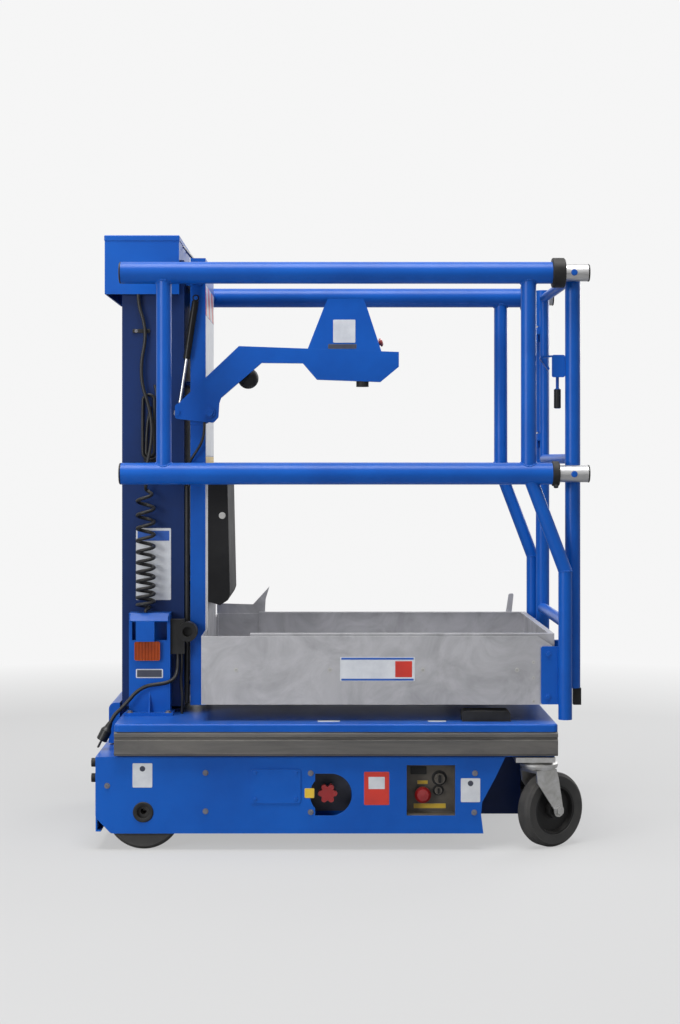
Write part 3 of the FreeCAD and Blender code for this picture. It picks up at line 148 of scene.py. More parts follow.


# %% [markdown]
# ## What every surface of a used machine has in common
# Paint, rubber and bare metal all vary a little in tone, turn lighter along edges and
# collect dust where they face up. The lighter edges are partly wear and partly a painted
# highlight. That is one effect with different numbers, so it is one node group. Edges are
# found with the Bevel node, which works on the CAD's loose triangles too; the dust follows
# the normal and a noise.

# %% The worn surface group, which also paints edge highlights
CLOUD_BAND = (0.34, 0.66)      # noise values where one tone passes into the other
PATCH_SCALE = 22               # how small the patches of wear and dust are
EDGE_RADIUS = 0.0022           # m, how far from an edge the wear and the painted highlight reach
EDGE_TURN = (0.995, 0.9)       # how far the rounded normal leans where the wear and the painted highlight start and are full
EDGE_PATCHES = (0.3, 0.62)
DUST_FACING = (0.25, 1)        # upward part of the normal where dust starts and is full
DUST_PATCHES = (0.28, 0.8)
DUST_ROUGHNESS = 0.35

wear_and_highlight, given, result = new_group(
    "wear and edge highlight", "ShaderNodeTree",
    [("Colour", COLOUR, (0.5, 0.5, 0.5, 1)), ("Tone", COLOUR, (0.4, 0.4, 0.4, 1)),
     ("Edge Colour", COLOUR, (0.6, 0.6, 0.6, 1)), ("Dust", COLOUR, (0.36, 0.34, 0.31, 1)),
     ("Cloud Scale", NUMBER, 6), ("Stretch", VECTOR, (1, 1, 1)), ("Swirl", NUMBER, 0),
     ("Grain Scale", NUMBER, 300), ("Edge Wear", NUMBER, 0.3), ("Dust Amount", NUMBER, 0.2),
     ("Roughness", NUMBER, 0.4), ("Roughness Spread", NUMBER, 0.1)],
    [("Colour", COLOUR), ("Roughness", NUMBER), ("Height", NUMBER)])
place = add(wear_and_highlight, "ShaderNodeVectorMath", {
    0: add(wear_and_highlight, "ShaderNodeTexCoord").outputs["Object"], 1: given["Stretch"]}, operation="MULTIPLY")
cloud = add(wear_and_highlight, "ShaderNodeTexNoise", {
    "Vector": place, "Scale": given["Cloud Scale"], "Detail": 5, "Roughness": 0.62,
    "Distortion": given["Swirl"]})
grain = add(wear_and_highlight, "ShaderNodeTexNoise", {"Vector": place, "Scale": given["Grain Scale"], "Detail": 3})
patches = add(wear_and_highlight, "ShaderNodeTexNoise", {"Vector": place, "Scale": PATCH_SCALE, "Detail": 6})
surface = add(wear_and_highlight, "ShaderNodeNewGeometry").outputs["Normal"]
rounded = add(wear_and_highlight, "ShaderNodeBevel", {"Radius": EDGE_RADIUS}, samples=4)
turned_by = add(wear_and_highlight, "ShaderNodeVectorMath", {0: rounded, 1: surface}, operation="DOT_PRODUCT").outputs["Value"]
# Edge mask: lighter edges, partly wear and partly a painted highlight.
edge = calc(wear_and_highlight, "MULTIPLY", ramp(wear_and_highlight, turned_by, *EDGE_TURN), ramp(wear_and_highlight, patches, *EDGE_PATCHES))
edge = calc(wear_and_highlight, "MULTIPLY", edge, given["Edge Wear"])
upward = ramp(wear_and_highlight, add(wear_and_highlight, "ShaderNodeSeparateXYZ", {0: surface}).outputs["Z"], *DUST_FACING)
dust = calc(wear_and_highlight, "MULTIPLY", calc(
    wear_and_highlight, "MULTIPLY", upward, ramp(wear_and_highlight, patches, *DUST_PATCHES)), given["Dust Amount"])
tone = tint(wear_and_highlight, ramp(wear_and_highlight, cloud, *CLOUD_BAND), given["Colour"], given["Tone"])
tone = tint(wear_and_highlight, dust, tint(wear_and_highlight, edge, tone, given["Edge Colour"]), given["Dust"])
rough = calc(wear_and_highlight, "ADD", given["Roughness"], calc(
    wear_and_highlight, "MULTIPLY", calc(wear_and_highlight, "SUBTRACT", cloud, 0.5), given["Roughness Spread"]))
rough = calc(wear_and_highlight, "ADD", rough, calc(wear_and_highlight, "MULTIPLY", dust, DUST_ROUGHNESS))
fill(wear_and_highlight, result, {"Colour": tone, "Roughness": rough, "Height": calc(wear_and_highlight, "ADD", grain, cloud)})
print("group:", wear_and_highlight.name, len(wear_and_highlight.nodes), "nodes")


# %% [markdown]
# ## One material per finish
# A finish is a Principled shader fed by the worn surface group, which also paints a
# highlight along edges. Numbers that are the same all over, such as metallic or coat,
# stay on the shader's own sockets.

# %% From a row of numbers to a material
COAT_ROUGHNESS = 0.12
RELIEF_DEPTH = 0.0006


def grey(level, blue=1.0):
    return (level, level, level * blue, 1)


def titled(values):
    """Sockets are named as one reads them: roughness_spread sets Roughness Spread."""
    return {key.replace("_", " ").title(): value for key, value in values.items()}


def finish(name, colour, tone, edge_colour=None, bump=0.15, metallic=0.0, coat=0.0, specular=0.5, **worn_values):
    material = bpy.data.materials.new(name)
    material.use_nodes = True
    tree = material.node_tree
    skin = add(tree, "ShaderNodeGroup", {
        "Colour": colour, "Tone": tone, "Edge Colour": edge_colour or tone} | titled(worn_values), node_tree=wear_and_highlight).outputs
    relief = add(tree, "ShaderNodeBump", {"Height": skin["Height"], "Strength": bump, "Distance": RELIEF_DEPTH})
    fill(tree, tree.nodes["Principled BSDF"], {
        "Base Color": skin["Colour"], "Roughness": skin["Roughness"], "Normal": relief,
        "Metallic": metallic, "Coat Weight": coat, "Coat Roughness": COAT_ROUGHNESS, "Specular IOR Level": specular})
    return material


print("materials so far:", len(bpy.data.materials))


# %% [markdown]
# Paint and metal come first. The mast's blue is darker than the rest, and the same dark
# blue paints the shade on the ribs under the chassis' nose. The trays' sheet is cloudy
# where it has weathered, which a swirled noise draws.

# %% Paint and metal
# Each finish's third colour is its edge colour: worn skin, and on the paints and the tray sheet also a painted
# highlight, so the blue paint's edge colour is a lighter blue.
PAINT = {"bump": 0.12, "coat": 0.03, "specular": 0.2, "roughness_spread": 0.14, "grain_scale": 260,
         "edge_wear": 0.35, "dust_amount": 0.1}
blue_paint = finish(
    "blue paint", (0.005, 0.1, 0.47, 1), (0.004, 0.078, 0.39, 1), (0.05, 0.2, 0.62, 1), roughness=0.34,
    cloud_scale=5, **PAINT)
mast_and_shade_blue = finish(
    "mast and shade blue", (0.003, 0.024, 0.12, 1), (0.002, 0.017, 0.085, 1), (0.02, 0.09, 0.3, 1), cloud_scale=4, **PAINT)
tray_metal = finish(
    "aluminium sheet", grey(0.52, 1.05), grey(0.34, 1.05), grey(0.8), bump=0.14, metallic=0.85, cloud_scale=7,
    swirl=1.6, grain_scale=420, roughness=0.42, roughness_spread=0.4, edge_wear=0.9, dust_amount=0.12)
tube_metal = finish(
    "aluminium tube", grey(0.5), grey(0.38), grey(0.7), bump=0.12, metallic=1.0, cloud_scale=30,
    stretch=(0.15, 1, 1), grain_scale=900, roughness=0.4, roughness_spread=0.3, edge_wear=0.4, dust_amount=0.05)
zinc = finish(
    "zinc plate", grey(0.5), (0.37, 0.365, 0.35, 1), grey(0.7), bump=0.2, metallic=0.92, cloud_scale=30, swirl=1,
    grain_scale=600, roughness=0.36, roughness_spread=0.35, edge_wear=0.5)
dull_screw = finish(
    "dull screw", grey(0.16, 1.25), grey(0.1, 1.25), grey(0.4), bump=0.1, metallic=0.4, cloud_scale=40, roughness=0.5,
    edge_wear=0.5, dust_amount=0.1)
bright_steel = finish(
    "bright steel", grey(0.5), grey(0.4), grey(0.7), bump=0.05, metallic=1.0, cloud_scale=40, roughness=0.28,
    roughness_spread=0.15, dust_amount=0.04)
print("with paint and metal:", len(bpy.data.materials))


# %% [markdown]
# Rubber and plastic are all nearly black, so what tells them apart is their gloss, their
# grain and how much dust they hold.

# %% Rubber and plastic
tyre_rubber = finish(
    "tyre rubber", grey(0.034), (0.055, 0.053, 0.051, 1), grey(0.12), bump=0.4, cloud_scale=16, grain_scale=500,
    specular=0.3, roughness=0.68, roughness_spread=0.3, edge_wear=0.6, dust_amount=0.55)
bumper_rubber = finish(
    "bumper rubber", (0.06, 0.058, 0.057, 1), (0.12, 0.113, 0.105, 1), (0.22, 0.21, 0.19, 1), bump=0.45,
    cloud_scale=9, stretch=(0.35, 1, 2.4), swirl=0.8, grain_scale=350, roughness=0.6, roughness_spread=0.35,
    edge_wear=0.9, dust_amount=0.5)
soft_black = finish(
    "black rubber", grey(0.012), grey(0.024), grey(0.05), bump=0.3, specular=0.2, cloud_scale=20, grain_scale=500,
    roughness=0.55, roughness_spread=0.2, edge_wear=0.4)
black_plastic = finish(
    "black plastic", grey(0.012), grey(0.02), grey(0.05), bump=0.2, specular=0.2, cloud_scale=14, grain_scale=700,
    roughness=0.42, roughness_spread=0.2, edge_wear=0.4, dust_amount=0.15)
pad_cover = finish(
    "pad cover", (0.007, 0.007, 0.008, 1), (0.013, 0.013, 0.014, 1), grey(0.05), bump=0.35, specular=0.15,
    cloud_scale=10, grain_scale=450, roughness=0.5, roughness_spread=0.3, edge_wear=0.5, dust_amount=0.3)
nylon = finish(
    "nylon", (0.7, 0.69, 0.62, 1), (0.6, 0.58, 0.5, 1), bump=0.1, cloud_scale=20, roughness=0.5, dust_amount=0.3)
cable_black = finish(
    "cable sheath", grey(0.01), grey(0.017), grey(0.04), bump=0.15, specular=0.3, cloud_scale=40, grain_scale=800,
    roughness=0.36, roughness_spread=0.2, edge_wear=0.0, dust_amount=0.15)
enamel = finish(
    "black enamel", grey(0.004), grey(0.007), grey(0.04), bump=0.05, coat=0.05, specular=0.15, cloud_scale=12,
    roughness=0.3, dust_amount=0.05)
red_plastic = finish(
    "red plastic", (0.34, 0.008, 0.01, 1), (0.26, 0.007, 0.009, 1), (0.55, 0.07, 0.06, 1), bump=0.1, coat=0.3,
    cloud_scale=25, roughness=0.32, edge_wear=0.4, dust_amount=0.15)
# The control panel's grey-brown is darkened to paint the shade behind the window.
panel_in_painted_shade = finish(
    "control panel", (0.1, 0.087, 0.07, 1), (0.06, 0.052, 0.042, 1), grey(0.3), bump=0.15, cloud_scale=18,
    roughness=0.5, edge_wear=0.4, dust_amount=0.25)
print("with rubber and plastic:", len(bpy.data.materials))


# %% [markdown]
# The labels' finishes are smooth film with little relief.

# %% Label film
label_white = finish(
    "blank label", (0.68, 0.7, 0.73, 1), (0.56, 0.58, 0.62, 1), grey(0.5), bump=0.04, cloud_scale=22, roughness=0.34,
    roughness_spread=0.15, dust_amount=0.1)
label_red = finish(
    "red label", (0.6, 0.035, 0.02, 1), (0.5, 0.03, 0.02, 1), (0.7, 0.3, 0.25, 1), bump=0.04, cloud_scale=20,
    roughness=0.36, dust_amount=0.05)
label_yellow = finish(
    "yellow label", (0.75, 0.5, 0.04, 1), (0.62, 0.4, 0.03, 1), grey(0.6), bump=0.04, cloud_scale=20, roughness=0.36)
label_blue = finish(
    "blue label", (0.015, 0.1, 0.45, 1), (0.012, 0.08, 0.36, 1), grey(0.5), bump=0.04, cloud_scale=20, roughness=0.34)
# This dark finish is print on the labels, and painted shade in holes and slots.
dark_print_and_shade = finish(
    "dark print and shade", (0.03, 0.035, 0.06, 1), (0.05, 0.055, 0.08, 1), grey(0.3), bump=0.06, cloud_scale=20)
print("finishes:", len(bpy.data.materials))


# %% [markdown]
# ## Two finishes with a pattern
# The carriage's front carries slanted red and white stripes, and the lamp's lens has
# moulded ribs. Both patterns are a sine over Object coordinates, so they stay on the
# piece. The ribs only feed the bump; the stripes mix two colours.

# %% Stripes and ribs
waves, wave_in, wave_out = new_group(
    "slanted bands", "ShaderNodeTree", [("Direction", VECTOR, (0, 1, 1)), ("Pitch", NUMBER, 0.05),
                                       ("Sharpness", NUMBER, 20)], [("Mask", NUMBER)])
along = add(waves, "ShaderNodeVectorMath", {
    0: add(waves, "ShaderNodeTexCoord").outputs["Object"], 1: wave_in["Direction"]}, operation="DOT_PRODUCT")
phase = calc(waves, "MULTIPLY", calc(waves, "DIVIDE", along.outputs["Value"], wave_in["Pitch"]), math.tau)
band = calc(waves, "MULTIPLY", add(waves, "ShaderNodeMath", {0: phase}, operation="SINE"), wave_in["Sharpness"])
fill(waves, wave_out, {"Mask": ramp(waves, band, -1, 1)})


def patterned(name, base, direction, pitch, sharpness):
    """A copy of a finish with its bands, and the bands' mask."""
    material = base.copy()
    material.name = name
    tree = material.node_tree
    bands = add(tree, "ShaderNodeGroup", {
        "Direction": direction, "Pitch": pitch, "Sharpness": sharpness}, node_tree=waves)
    return material, tree, bands.outputs["Mask"]


hatch, tree, mask = patterned("warning stripes", label_white, (0, 0.8, 0.6), 0.11, 40)
skin = next(node for node in tree.nodes if node.type == "GROUP" and node.node_tree == wear_and_highlight)
fill(tree, tree.nodes["Principled BSDF"], {
    "Base Color": tint(tree, mask, skin.outputs["Colour"], (0.55, 0.05, 0.05, 1))})

# The amber is darkened to paint the shade the pillar lamps stand in.
amber_in_painted_shade = finish(
    "amber lens", (0.36, 0.05, 0.003, 1), (0.26, 0.034, 0.003, 1), (0.8, 0.3, 0.06, 1), bump=0.1, coat=0.15,
    specular=0.3, cloud_scale=30, roughness=0.22, edge_wear=0.4, dust_amount=0.1)
lens_ribs, tree, mask = patterned("ribbed amber lens", amber_in_painted_shade, (1, 0, 0), 0.008, 1)
relief = next(node for node in tree.nodes if node.type == "BUMP")
fill(tree, relief, {"Distance": 0.002, "Strength": 0.8, "Height": mask})
print("patterns:", hatch.name, "and", lens_ribs.name)


# %% [markdown]
# ## Finishes on the CAD pieces
# Each solid already has the right shape, so it only needs its finish. The finish goes
# into the object's material slot and the mesh is left as it is.

# %% Give each CAD node its finish
FINISHES = {
    blue_paint: "lower_chassis near_side_panel far_side_panel cover_plate upper_frame top_plate mast_hood "
                "carriage_front side_rails rail_posts rail_legs rail_cross_arms control_arm console arm_bracket "
                "extension_frame gate_frame pillars gate_latch",
    mast_and_shade_blue: "inner_mast stage_one stage_two outer_mast",
    panel_in_painted_shade: "ground_controls",
    red_plastic: "ground_stop_button release_knob console_stop",
    bumper_rubber: "side_bumpers",
    soft_black: "rear_buffers arm_buffers post_stops rail_bushes deck_rests",
    zinc: "wheel_mounts near_caster_fork far_caster_fork",
    tyre_rubber: "near_drive_wheel far_drive_wheel near_caster_tyre far_caster_tyre",
    black_plastic: "near_caster_hub far_caster_hub battery_pack cable_guide",
    pad_cover: "back_pad",
    nylon: "inner_mast_pads stage_one_pads stage_two_pads outer_mast_pads",
    tray_metal: "outer_tray inner_tray",
    tube_metal: "slide_tubes",
    lens_ribs: "pillar_lamps",
    cable_black: "slot_hose mains_plug",
    enamel: "strut_cylinder",
    bright_steel: "strut_rod",
}
for material, names in FINISHES.items():
    for name in names.split():
        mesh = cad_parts[name].data
        mesh.materials.clear()
        mesh.materials.append(material)
print("finished:", sum(len(names.split()) for names in FINISHES.values()), "of", len(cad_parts))


# %% [markdown]
# ## The cords
# A cord is a NURBS curve through a few points, as heavy as a real cable looks: straight
# out of its exit, then down under its own weight. The upper cable hangs from the hood
# beside the mast, and the charging lead falls over the rear edge to its plug.

# %% Cords on smooth splines
def route_curve(name, points, diameter=0.0):
    """A curve whose control points are the cord's route."""
    data = bpy.data.curves.new(name, "CURVE")
    data.dimensions = "3D"
    data.bevel_depth = diameter / 2
    data.bevel_resolution = 4
    data.resolution_u = 10
    data.use_fill_caps = True
    spline = data.splines.new("NURBS")
    spline.points.add(len(points) - 1)
    for control, point in zip(spline.points, points):
        control.co = (*point, 1)
    spline.order_u = 3
    spline.use_endpoint_u = True
    data.materials.append(cable_black)
    return put(name, data)


def free_cord(name, body, points, diameter, length, node=None):
    item = route_curve(name, points, diameter)
    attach(item, body)
    if node:
        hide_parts(node)
    print(name, "length", length)


free_cord("upper_cable", "platform", [
    mm(-515, -187, 1390.7), mm(-514, -187, 1360), mm(-499, -188, 1318), mm(-496, -189, 1272), mm(-507, -190, 1220),
    mm(-506, -191, 1160), mm(-489, -193, 1110), mm(-478, -195, 1052), mm(-482, -199, 995), mm(-493, -205, 948),
    mm(-494, -207, 903.3)], 0.009, 0.49, node="hanging_cable")
free_cord("charging_lead", "chassis", [
    mm(-412, -203, 469.7), mm(-412, -204, 446), mm(-413, -213, 425), mm(-418, -230, 408), mm(-437, -244, 399),
    mm(-462, -247, 396), mm(-489, -246, 392), mm(-514, -246, 377), mm(-533, -247, 355), mm(-551, -249, 335),
    mm(-569, -251, 320), mm(-579, -252, 300)], 0.010, 0.27, node="mains_lead")


# %% [markdown]
# ## The coiled cord
# The control cord has to reach when the platform is up, so it is a spring of cable. Its
# turns hang wide at the top and rest on each other at the foot: the pitch grows with
# the height. The helix is drawn as points of the cord's own spline. Its foot stays on
# the chassis and its head rises with the platform; here it is made a plain mesh.

# %% The coiled cord's route
COIL_X, COIL_Y, COIL_LOW, COIL_TOP = -0.494, -0.207, 0.5753, 0.9030
COIL_CORD = 0.009
COIL_RADIUS = 0.0222
PITCH_LOW, PITCH_HIGH = 0.0165, 0.041
POINTS_A_TURN = 12
TURNS_TOP = COIL_TOP - 0.014          # where the turns end and the cord goes straight
FIRST_OPENING, CLOSING_HEIGHT = 0.35, 0.03

coil_route = [Vector((COIL_X, COIL_Y, COIL_LOW)), Vector((COIL_X, COIL_Y, COIL_LOW + 0.007))]
height, angle = COIL_LOW + 0.010, 0.0
while height < TURNS_TOP:
    opening = min(1, FIRST_OPENING + angle / math.pi) * min(1, FIRST_OPENING + (TURNS_TOP - height) / CLOSING_HEIGHT)
    coil_route.append(Vector((
        COIL_X + COIL_RADIUS * opening * math.cos(angle), COIL_Y + COIL_RADIUS * opening * math.sin(angle), height)))
    share = (height - COIL_LOW) / (COIL_TOP - COIL_LOW)
    angle += math.tau / POINTS_A_TURN
    height += (PITCH_LOW + (PITCH_HIGH - PITCH_LOW) * share) / POINTS_A_TURN
coil_route += [Vector((COIL_X, COIL_Y, COIL_TOP - 0.007)), Vector((COIL_X, COIL_Y, COIL_TOP))]
print("coil:", len(coil_route), "points,", round(angle / math.tau, 1), "turns")


# %% [markdown]
# The spline is turned into a mesh twice: once without a thickness, as the cord's middle
# line, which is removed again, and once as the tube that shows.

# %% The coiled cord as a mesh
def plain_mesh(item, name):
    """A plain mesh object from what a curve or a modifier makes; the first is removed."""
    evaluated = item.evaluated_get(bpy.context.evaluated_depsgraph_get())
    mesh = bpy.data.meshes.new_from_object(evaluated)
    mesh.name = name
    bpy.data.objects.remove(item)
    return put(name, mesh)


centre_line = plain_mesh(route_curve("coil_line", coil_route), "coil_line")
bpy.data.objects.remove(centre_line)
tube = route_curve("coil_tube", coil_route, COIL_CORD)
tube.data.resolution_u = 4
coiled_cord = plain_mesh(tube, "coiled_cord")
for face in coiled_cord.data.polygons:
    face.use_smooth = True
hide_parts("curly_cord")
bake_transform(coiled_cord)


# %% [markdown]
# ## Three more short cables
# One leaves the arm's pivot and slips into the slot in front of the mast, one is what
# is left over of a cable, wound flat on the mast's side, and one drops from the black
# guide to the deck. Both ends of each go back into the machine.

# %% Short cables
free_cord("arm_cable", "platform", [
    mm(-345, -188, 1062), mm(-345, -188, 1040), mm(-350, -190, 1014), mm(-363, -190, 990), mm(-379, -186, 968),
    mm(-389, -179, 945), mm(-391.2, -170, 922), mm(-391.2, -168, 899)], 0.007, 0.18)
LOOP_X, LOOP_Y, LOOP_Z = -487, -181.3, 1052
LOOP_HALF, LOOP_RADIUS, LOOP_SHRINK = 66, 22, 4.5      # half its straight side; radius; loss a half turn
ARC_STEPS = 6
spare = [mm(-474, -175.5, 1158), mm(-466, -179, 1141)]
for half in range(3):
    middle = LOOP_Z + (LOOP_HALF if half == 1 else -LOOP_HALF)
    for step in range(ARC_STEPS + 1):
        turned = half + step / ARC_STEPS
        reach = LOOP_RADIUS - LOOP_SHRINK * turned
        spare.append(mm(LOOP_X + reach * math.cos(math.pi * turned), LOOP_Y,
                        middle - reach * math.sin(math.pi * turned)))
spare += [mm(-493, LOOP_Y, 1050), mm(-488, -179.5, 1082), mm(-485, -175.5, 1102)]
spare_length = sum((start - end).length for start, end in zip(spare, spare[1:]))
free_cord("spare_loop", "platform", spare, 0.008, round(spare_length, 2))
free_cord("foot_cable", "chassis", [
    mm(-402, -198, 469.7), mm(-402, -198, 440), mm(-405, -200, 400), mm(-400, -201, 360), mm(-401, -199, 335),
    mm(-402, -198, 315.4)], 0.008, 0.155)


# %% [markdown]
# ## Light and floor
# A plain pale floor takes the shadow. Soft lamps hang above and beside, at a plain
# level, so a colour renders about as it is written. The white behind the machine is
# the world as the camera and the mirrors see it; for everything else it is a dimmer
# sky, so the white adds no light.

# %% The floor
BACKGROUND = 0.92
FLOOR_TONE = 0.36
FLOOR_FADE = (0.6, 4)          # m, where the floor starts to pass into the white and where it is white
FLOOR_GLOW = 0.5
FLOOR_HALF = 14
floor_paint = bpy.data.materials.new("pale floor")
floor_paint.use_nodes = True
ground = floor_paint.node_tree
matt = ground.nodes["Principled BSDF"]
fill(ground, matt, {"Base Color": grey(FLOOR_TONE), "Roughness": 0.9})
away = add(ground, "ShaderNodeVectorMath", {
    0: add(ground, "ShaderNodeTexCoord").outputs["Object"]}, operation="LENGTH").outputs["Value"]
fade = calc(ground, "MAXIMUM", ramp(ground, away, *FLOOR_FADE), FLOOR_GLOW)
fade = calc(ground, "MULTIPLY", fade, add(ground, "ShaderNodeLightPath").outputs["Is Camera Ray"])
glow = add(ground, "ShaderNodeEmission", {"Color": (1, 1, 1, 1), "Strength": BACKGROUND})
faded = add(ground, "ShaderNodeMixShader", {0: fade, 1: matt, 2: glow})
fill(ground, ground.nodes["Material Output"], {"Surface": faded})
floor_mesh = bpy.data.meshes.new("floor")
floor_mesh.from_pydata(
    [(x * FLOOR_HALF, y * FLOOR_HALF, 0) for x, y in ((-1, -1), (1, -1), (1, 1), (-1, 1))], [], [(0, 1, 2, 3)])
floor_mesh.materials.append(floor_paint)
put("floor", floor_mesh)
print("floor:", 2 * FLOOR_HALF, "m wide")


# %% [markdown]
# The lamps stand so that no flat side of the machine mirrors one of them to the camera.

# %% World and lamps
SKY_COLOUR, SKY_STRENGTH = (0.92, 0.95, 1, 1), 0.2
LAMPS = (    # name, place, aim, size, watts
    ("overhead", (-0.2, -1.4, 6), (0, 0, 0.3), 3.4, 390),
    ("near_fill", (-2.8, -3.5, 1.5), (0, 0, 0.3), 1.8, 86),
    ("far_fill", (2.6, 3.4, 2.6), (0, 0, 0.7), 2.4, 80))

world = bpy.data.worlds.new("studio")
world.use_nodes = True
sky = world.node_tree
rays = add(sky, "ShaderNodeLightPath").outputs
seen = calc(sky, "MAXIMUM", calc(sky, "MAXIMUM", rays["Is Camera Ray"], rays["Is Glossy Ray"]),
            rays["Is Transmission Ray"])
dim = add(sky, "ShaderNodeBackground", {"Color": SKY_COLOUR, "Strength": SKY_STRENGTH})
white = add(sky, "ShaderNodeBackground", {"Color": (1, 1, 1, 1), "Strength": BACKGROUND})
mixed = add(sky, "ShaderNodeMixShader", {0: seen, 1: dim, 2: white})
fill(sky, sky.nodes["World Output"], {"Surface": mixed})
bpy.context.scene.world = world
bpy.context.scene.view_settings.view_transform = "Standard"

for name, place, aim, size, watts in LAMPS:
    data = bpy.data.lights.new(name, "AREA")
    data.size = size
    data.energy = watts
    item = put(name, data)
    item.location = place
    item.rotation_euler = (Vector(aim) - Vector(place)).to_track_quat("-Z", "Y").to_euler()
print("lamps:", len(LAMPS))


# %% [markdown]
# ## Small made pieces
# The trim is built of rings of points, in millimetres, with a skin over them.

# %% Rings and their skin
def frame_of(facing):
    """The axis a piece faces, and two more to draw across and up on it."""
    normal = Vector(facing).normalized()
    across = Vector((0, 0, 1)).cross(normal) if abs(normal.z) < 0.9 else Vector((1, 0, 0))
    across.normalize()
    return normal, across, normal.cross(across)


def skin_rings(shape, rings, closed=False):
    """A skin over a row of rings of points: capped at both ends, or closed on itself."""
    rows = [[shape.verts.new(point / 1000) for point in ring] for ring in rings]
    count = len(rows[0])
    for low, high in zip(rows, rows[1:] + rows[:1] if closed else rows[1:]):
        for spot in range(count):
            after = (spot + 1) % count
            shape.faces.new((low[spot], low[after], high[after], high[spot]))
    if not closed:
        shape.faces.new(list(reversed(rows[0])))
        shape.faces.new(rows[-1])


print("helpers: frame_of, skin_rings")


# %% [markdown]
# Three makers are enough: a slab is a thin plate with rounded corners and a softened
# rim, standing on a surface; a lathe turns a profile round an axis; a bar joins points.

# %% Slab, lathe and bar
CORNER_STEPS = 3


def slab(shape, centre, facing, width, height, thick, radius=3, soft=0.2):
    normal, across, up = frame_of(facing)
    rings = []
    for inset, depth in ((0, 0), (0, thick - soft), (soft, thick)):
        ring = []
        for corner in range(4):
            side_x = (width / 2 - radius) * (1 if corner in (0, 3) else -1)
            side_y = (height / 2 - radius) * (1 if corner in (0, 1) else -1)
            for step in range(CORNER_STEPS + 1):
                turn = math.radians(90 * (corner + step / CORNER_STEPS))
                ring.append(Vector(centre) + normal * depth
                            + across * (side_x + (radius - inset) * math.cos(turn))
                            + up * (side_y + (radius - inset) * math.sin(turn)))
        rings.append(ring)
    skin_rings(shape, rings)


def lathe(shape, centre, facing, profile, sides=32, closed=False):
    """profile: (radius, height along the axis) from the foot to the tip, radius above 0."""
    normal, across, up = frame_of(facing)
    turns = [math.tau * step / sides for step in range(sides)]
    skin_rings(shape, [
        [Vector(centre) + normal * height + (across * math.cos(turn) + up * math.sin(turn)) * radius for turn in turns]
        for radius, height in profile], closed)


def bar(shape, start, end, radius, sides=12):
    reach = (Vector(end) - Vector(start)).length
    lathe(shape, start, Vector(end) - Vector(start), ((radius, 0), (radius, reach)), sides)


print("makers: slab, lathe, bar")


# %% [markdown]
# A piece is a list of rows, each a maker and what it takes, so several bodies of one
# finish make one object.

# %% A finished piece
SHARP = math.radians(32)
NEAR, FAR, UP, FRONT, REAR = (0, -1, 0), (0, 1, 0), (0, 0, 1), (1, 0, 0), (-1, 0, 0)
PANEL_Y, TRAY_Y, MAST_Y, RAIL_Y = -365, -337, -175, 350
RAIL_LEVELS = (1429, 931)
DRIVE_X, DRIVE_Z = -485, 95
CASTER_X, CASTER_Y, CASTER_TRAIL, CASTER_Z = 497, 330, 37, 93


def piece(name, parts, body, material):
    """Normals outward, edges sharp where they fold, riding on its body."""
    shape = bmesh.new()
    for maker, *values in parts:
        maker(shape, *values)
    bmesh.ops.recalc_face_normals(shape, faces=shape.faces)
    mesh = bpy.data.meshes.new(name)
    shape.to_mesh(mesh)
    shape.free()
    mesh.materials.append(material)
    mesh.shade_smooth()
    mesh.set_sharp_from_angle(angle=SHARP)
    item = put(name, mesh)
    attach(item, body)
    print(name, len(mesh.polygons), "faces on", body)


# %% [markdown]
# ## Labels without words
# The machine wears a dozen stickers. Here each is a blank plate of the same size and
# colour in the same place, 0.6 mm thick, so that it catches a little light at its rim.

# %% Blank labels
FILM, FILM_CORNER = 0.6, 2.5
LABELS = {
    "panel_labels": ("chassis", label_white, [
        ((-486.7, PANEL_Y, 185.6), NEAR, 49, 60), ((324, PANEL_Y, 149), NEAR, 48, 59),
        ((-486.7, -PANEL_Y, 185.6), FAR, 49, 60), ((300, -PANEL_Y, 149), FAR, 48, 59)]),
    "yellow_label": ("chassis", label_yellow, [((-74, PANEL_Y, 141.8), NEAR, 24, 24)]),
    "red_label": ("chassis", label_red, [((92, PANEL_Y, 153.5), NEAR, 62, 82)]),
    "mast_label": ("platform", label_white, [((-477, MAST_Y, 697), NEAR, 90, 185)]),
    "tray_label": ("platform", label_white, [((95, TRAY_Y, 445), NEAR, 186, 60)]),
    "console_label": ("arm", label_white, [((14, -200, 1295), NEAR, 57, 59)]),
    "deck_labels": ("chassis", label_white, [
        ((-26, -334, 315), UP, 55, 22), ((243, -334, 315), UP, 45, 22), ((-26, 334, 315), UP, 55, 22)]),
    "pillar_plates": ("chassis", label_white, [
        ((-482.7, -225, 421), NEAR, 69, 23), ((-482.7, 225, 421), FAR, 69, 23)]),
    "strip_white": ("platform", label_white, [((-343, 0, 1157), FRONT, 340, 362)]),
    "strip_hatched": ("platform", hatch, [((-343, 0, 1378), FRONT, 340, 76)]),
    "strip_orange": ("platform", label_yellow, [((-343, 0, 961), FRONT, 340, 26)]),
}
for name, (body, material, plates) in LABELS.items():
    piece(name, [(slab, *plate, FILM, FILM_CORNER) for plate in plates], body, material)


# %% [markdown]
# Some labels have a plain field of another colour, a thinner slab that lies on them. The
# two dots are squares with corners so round that hardly a straight side is left.

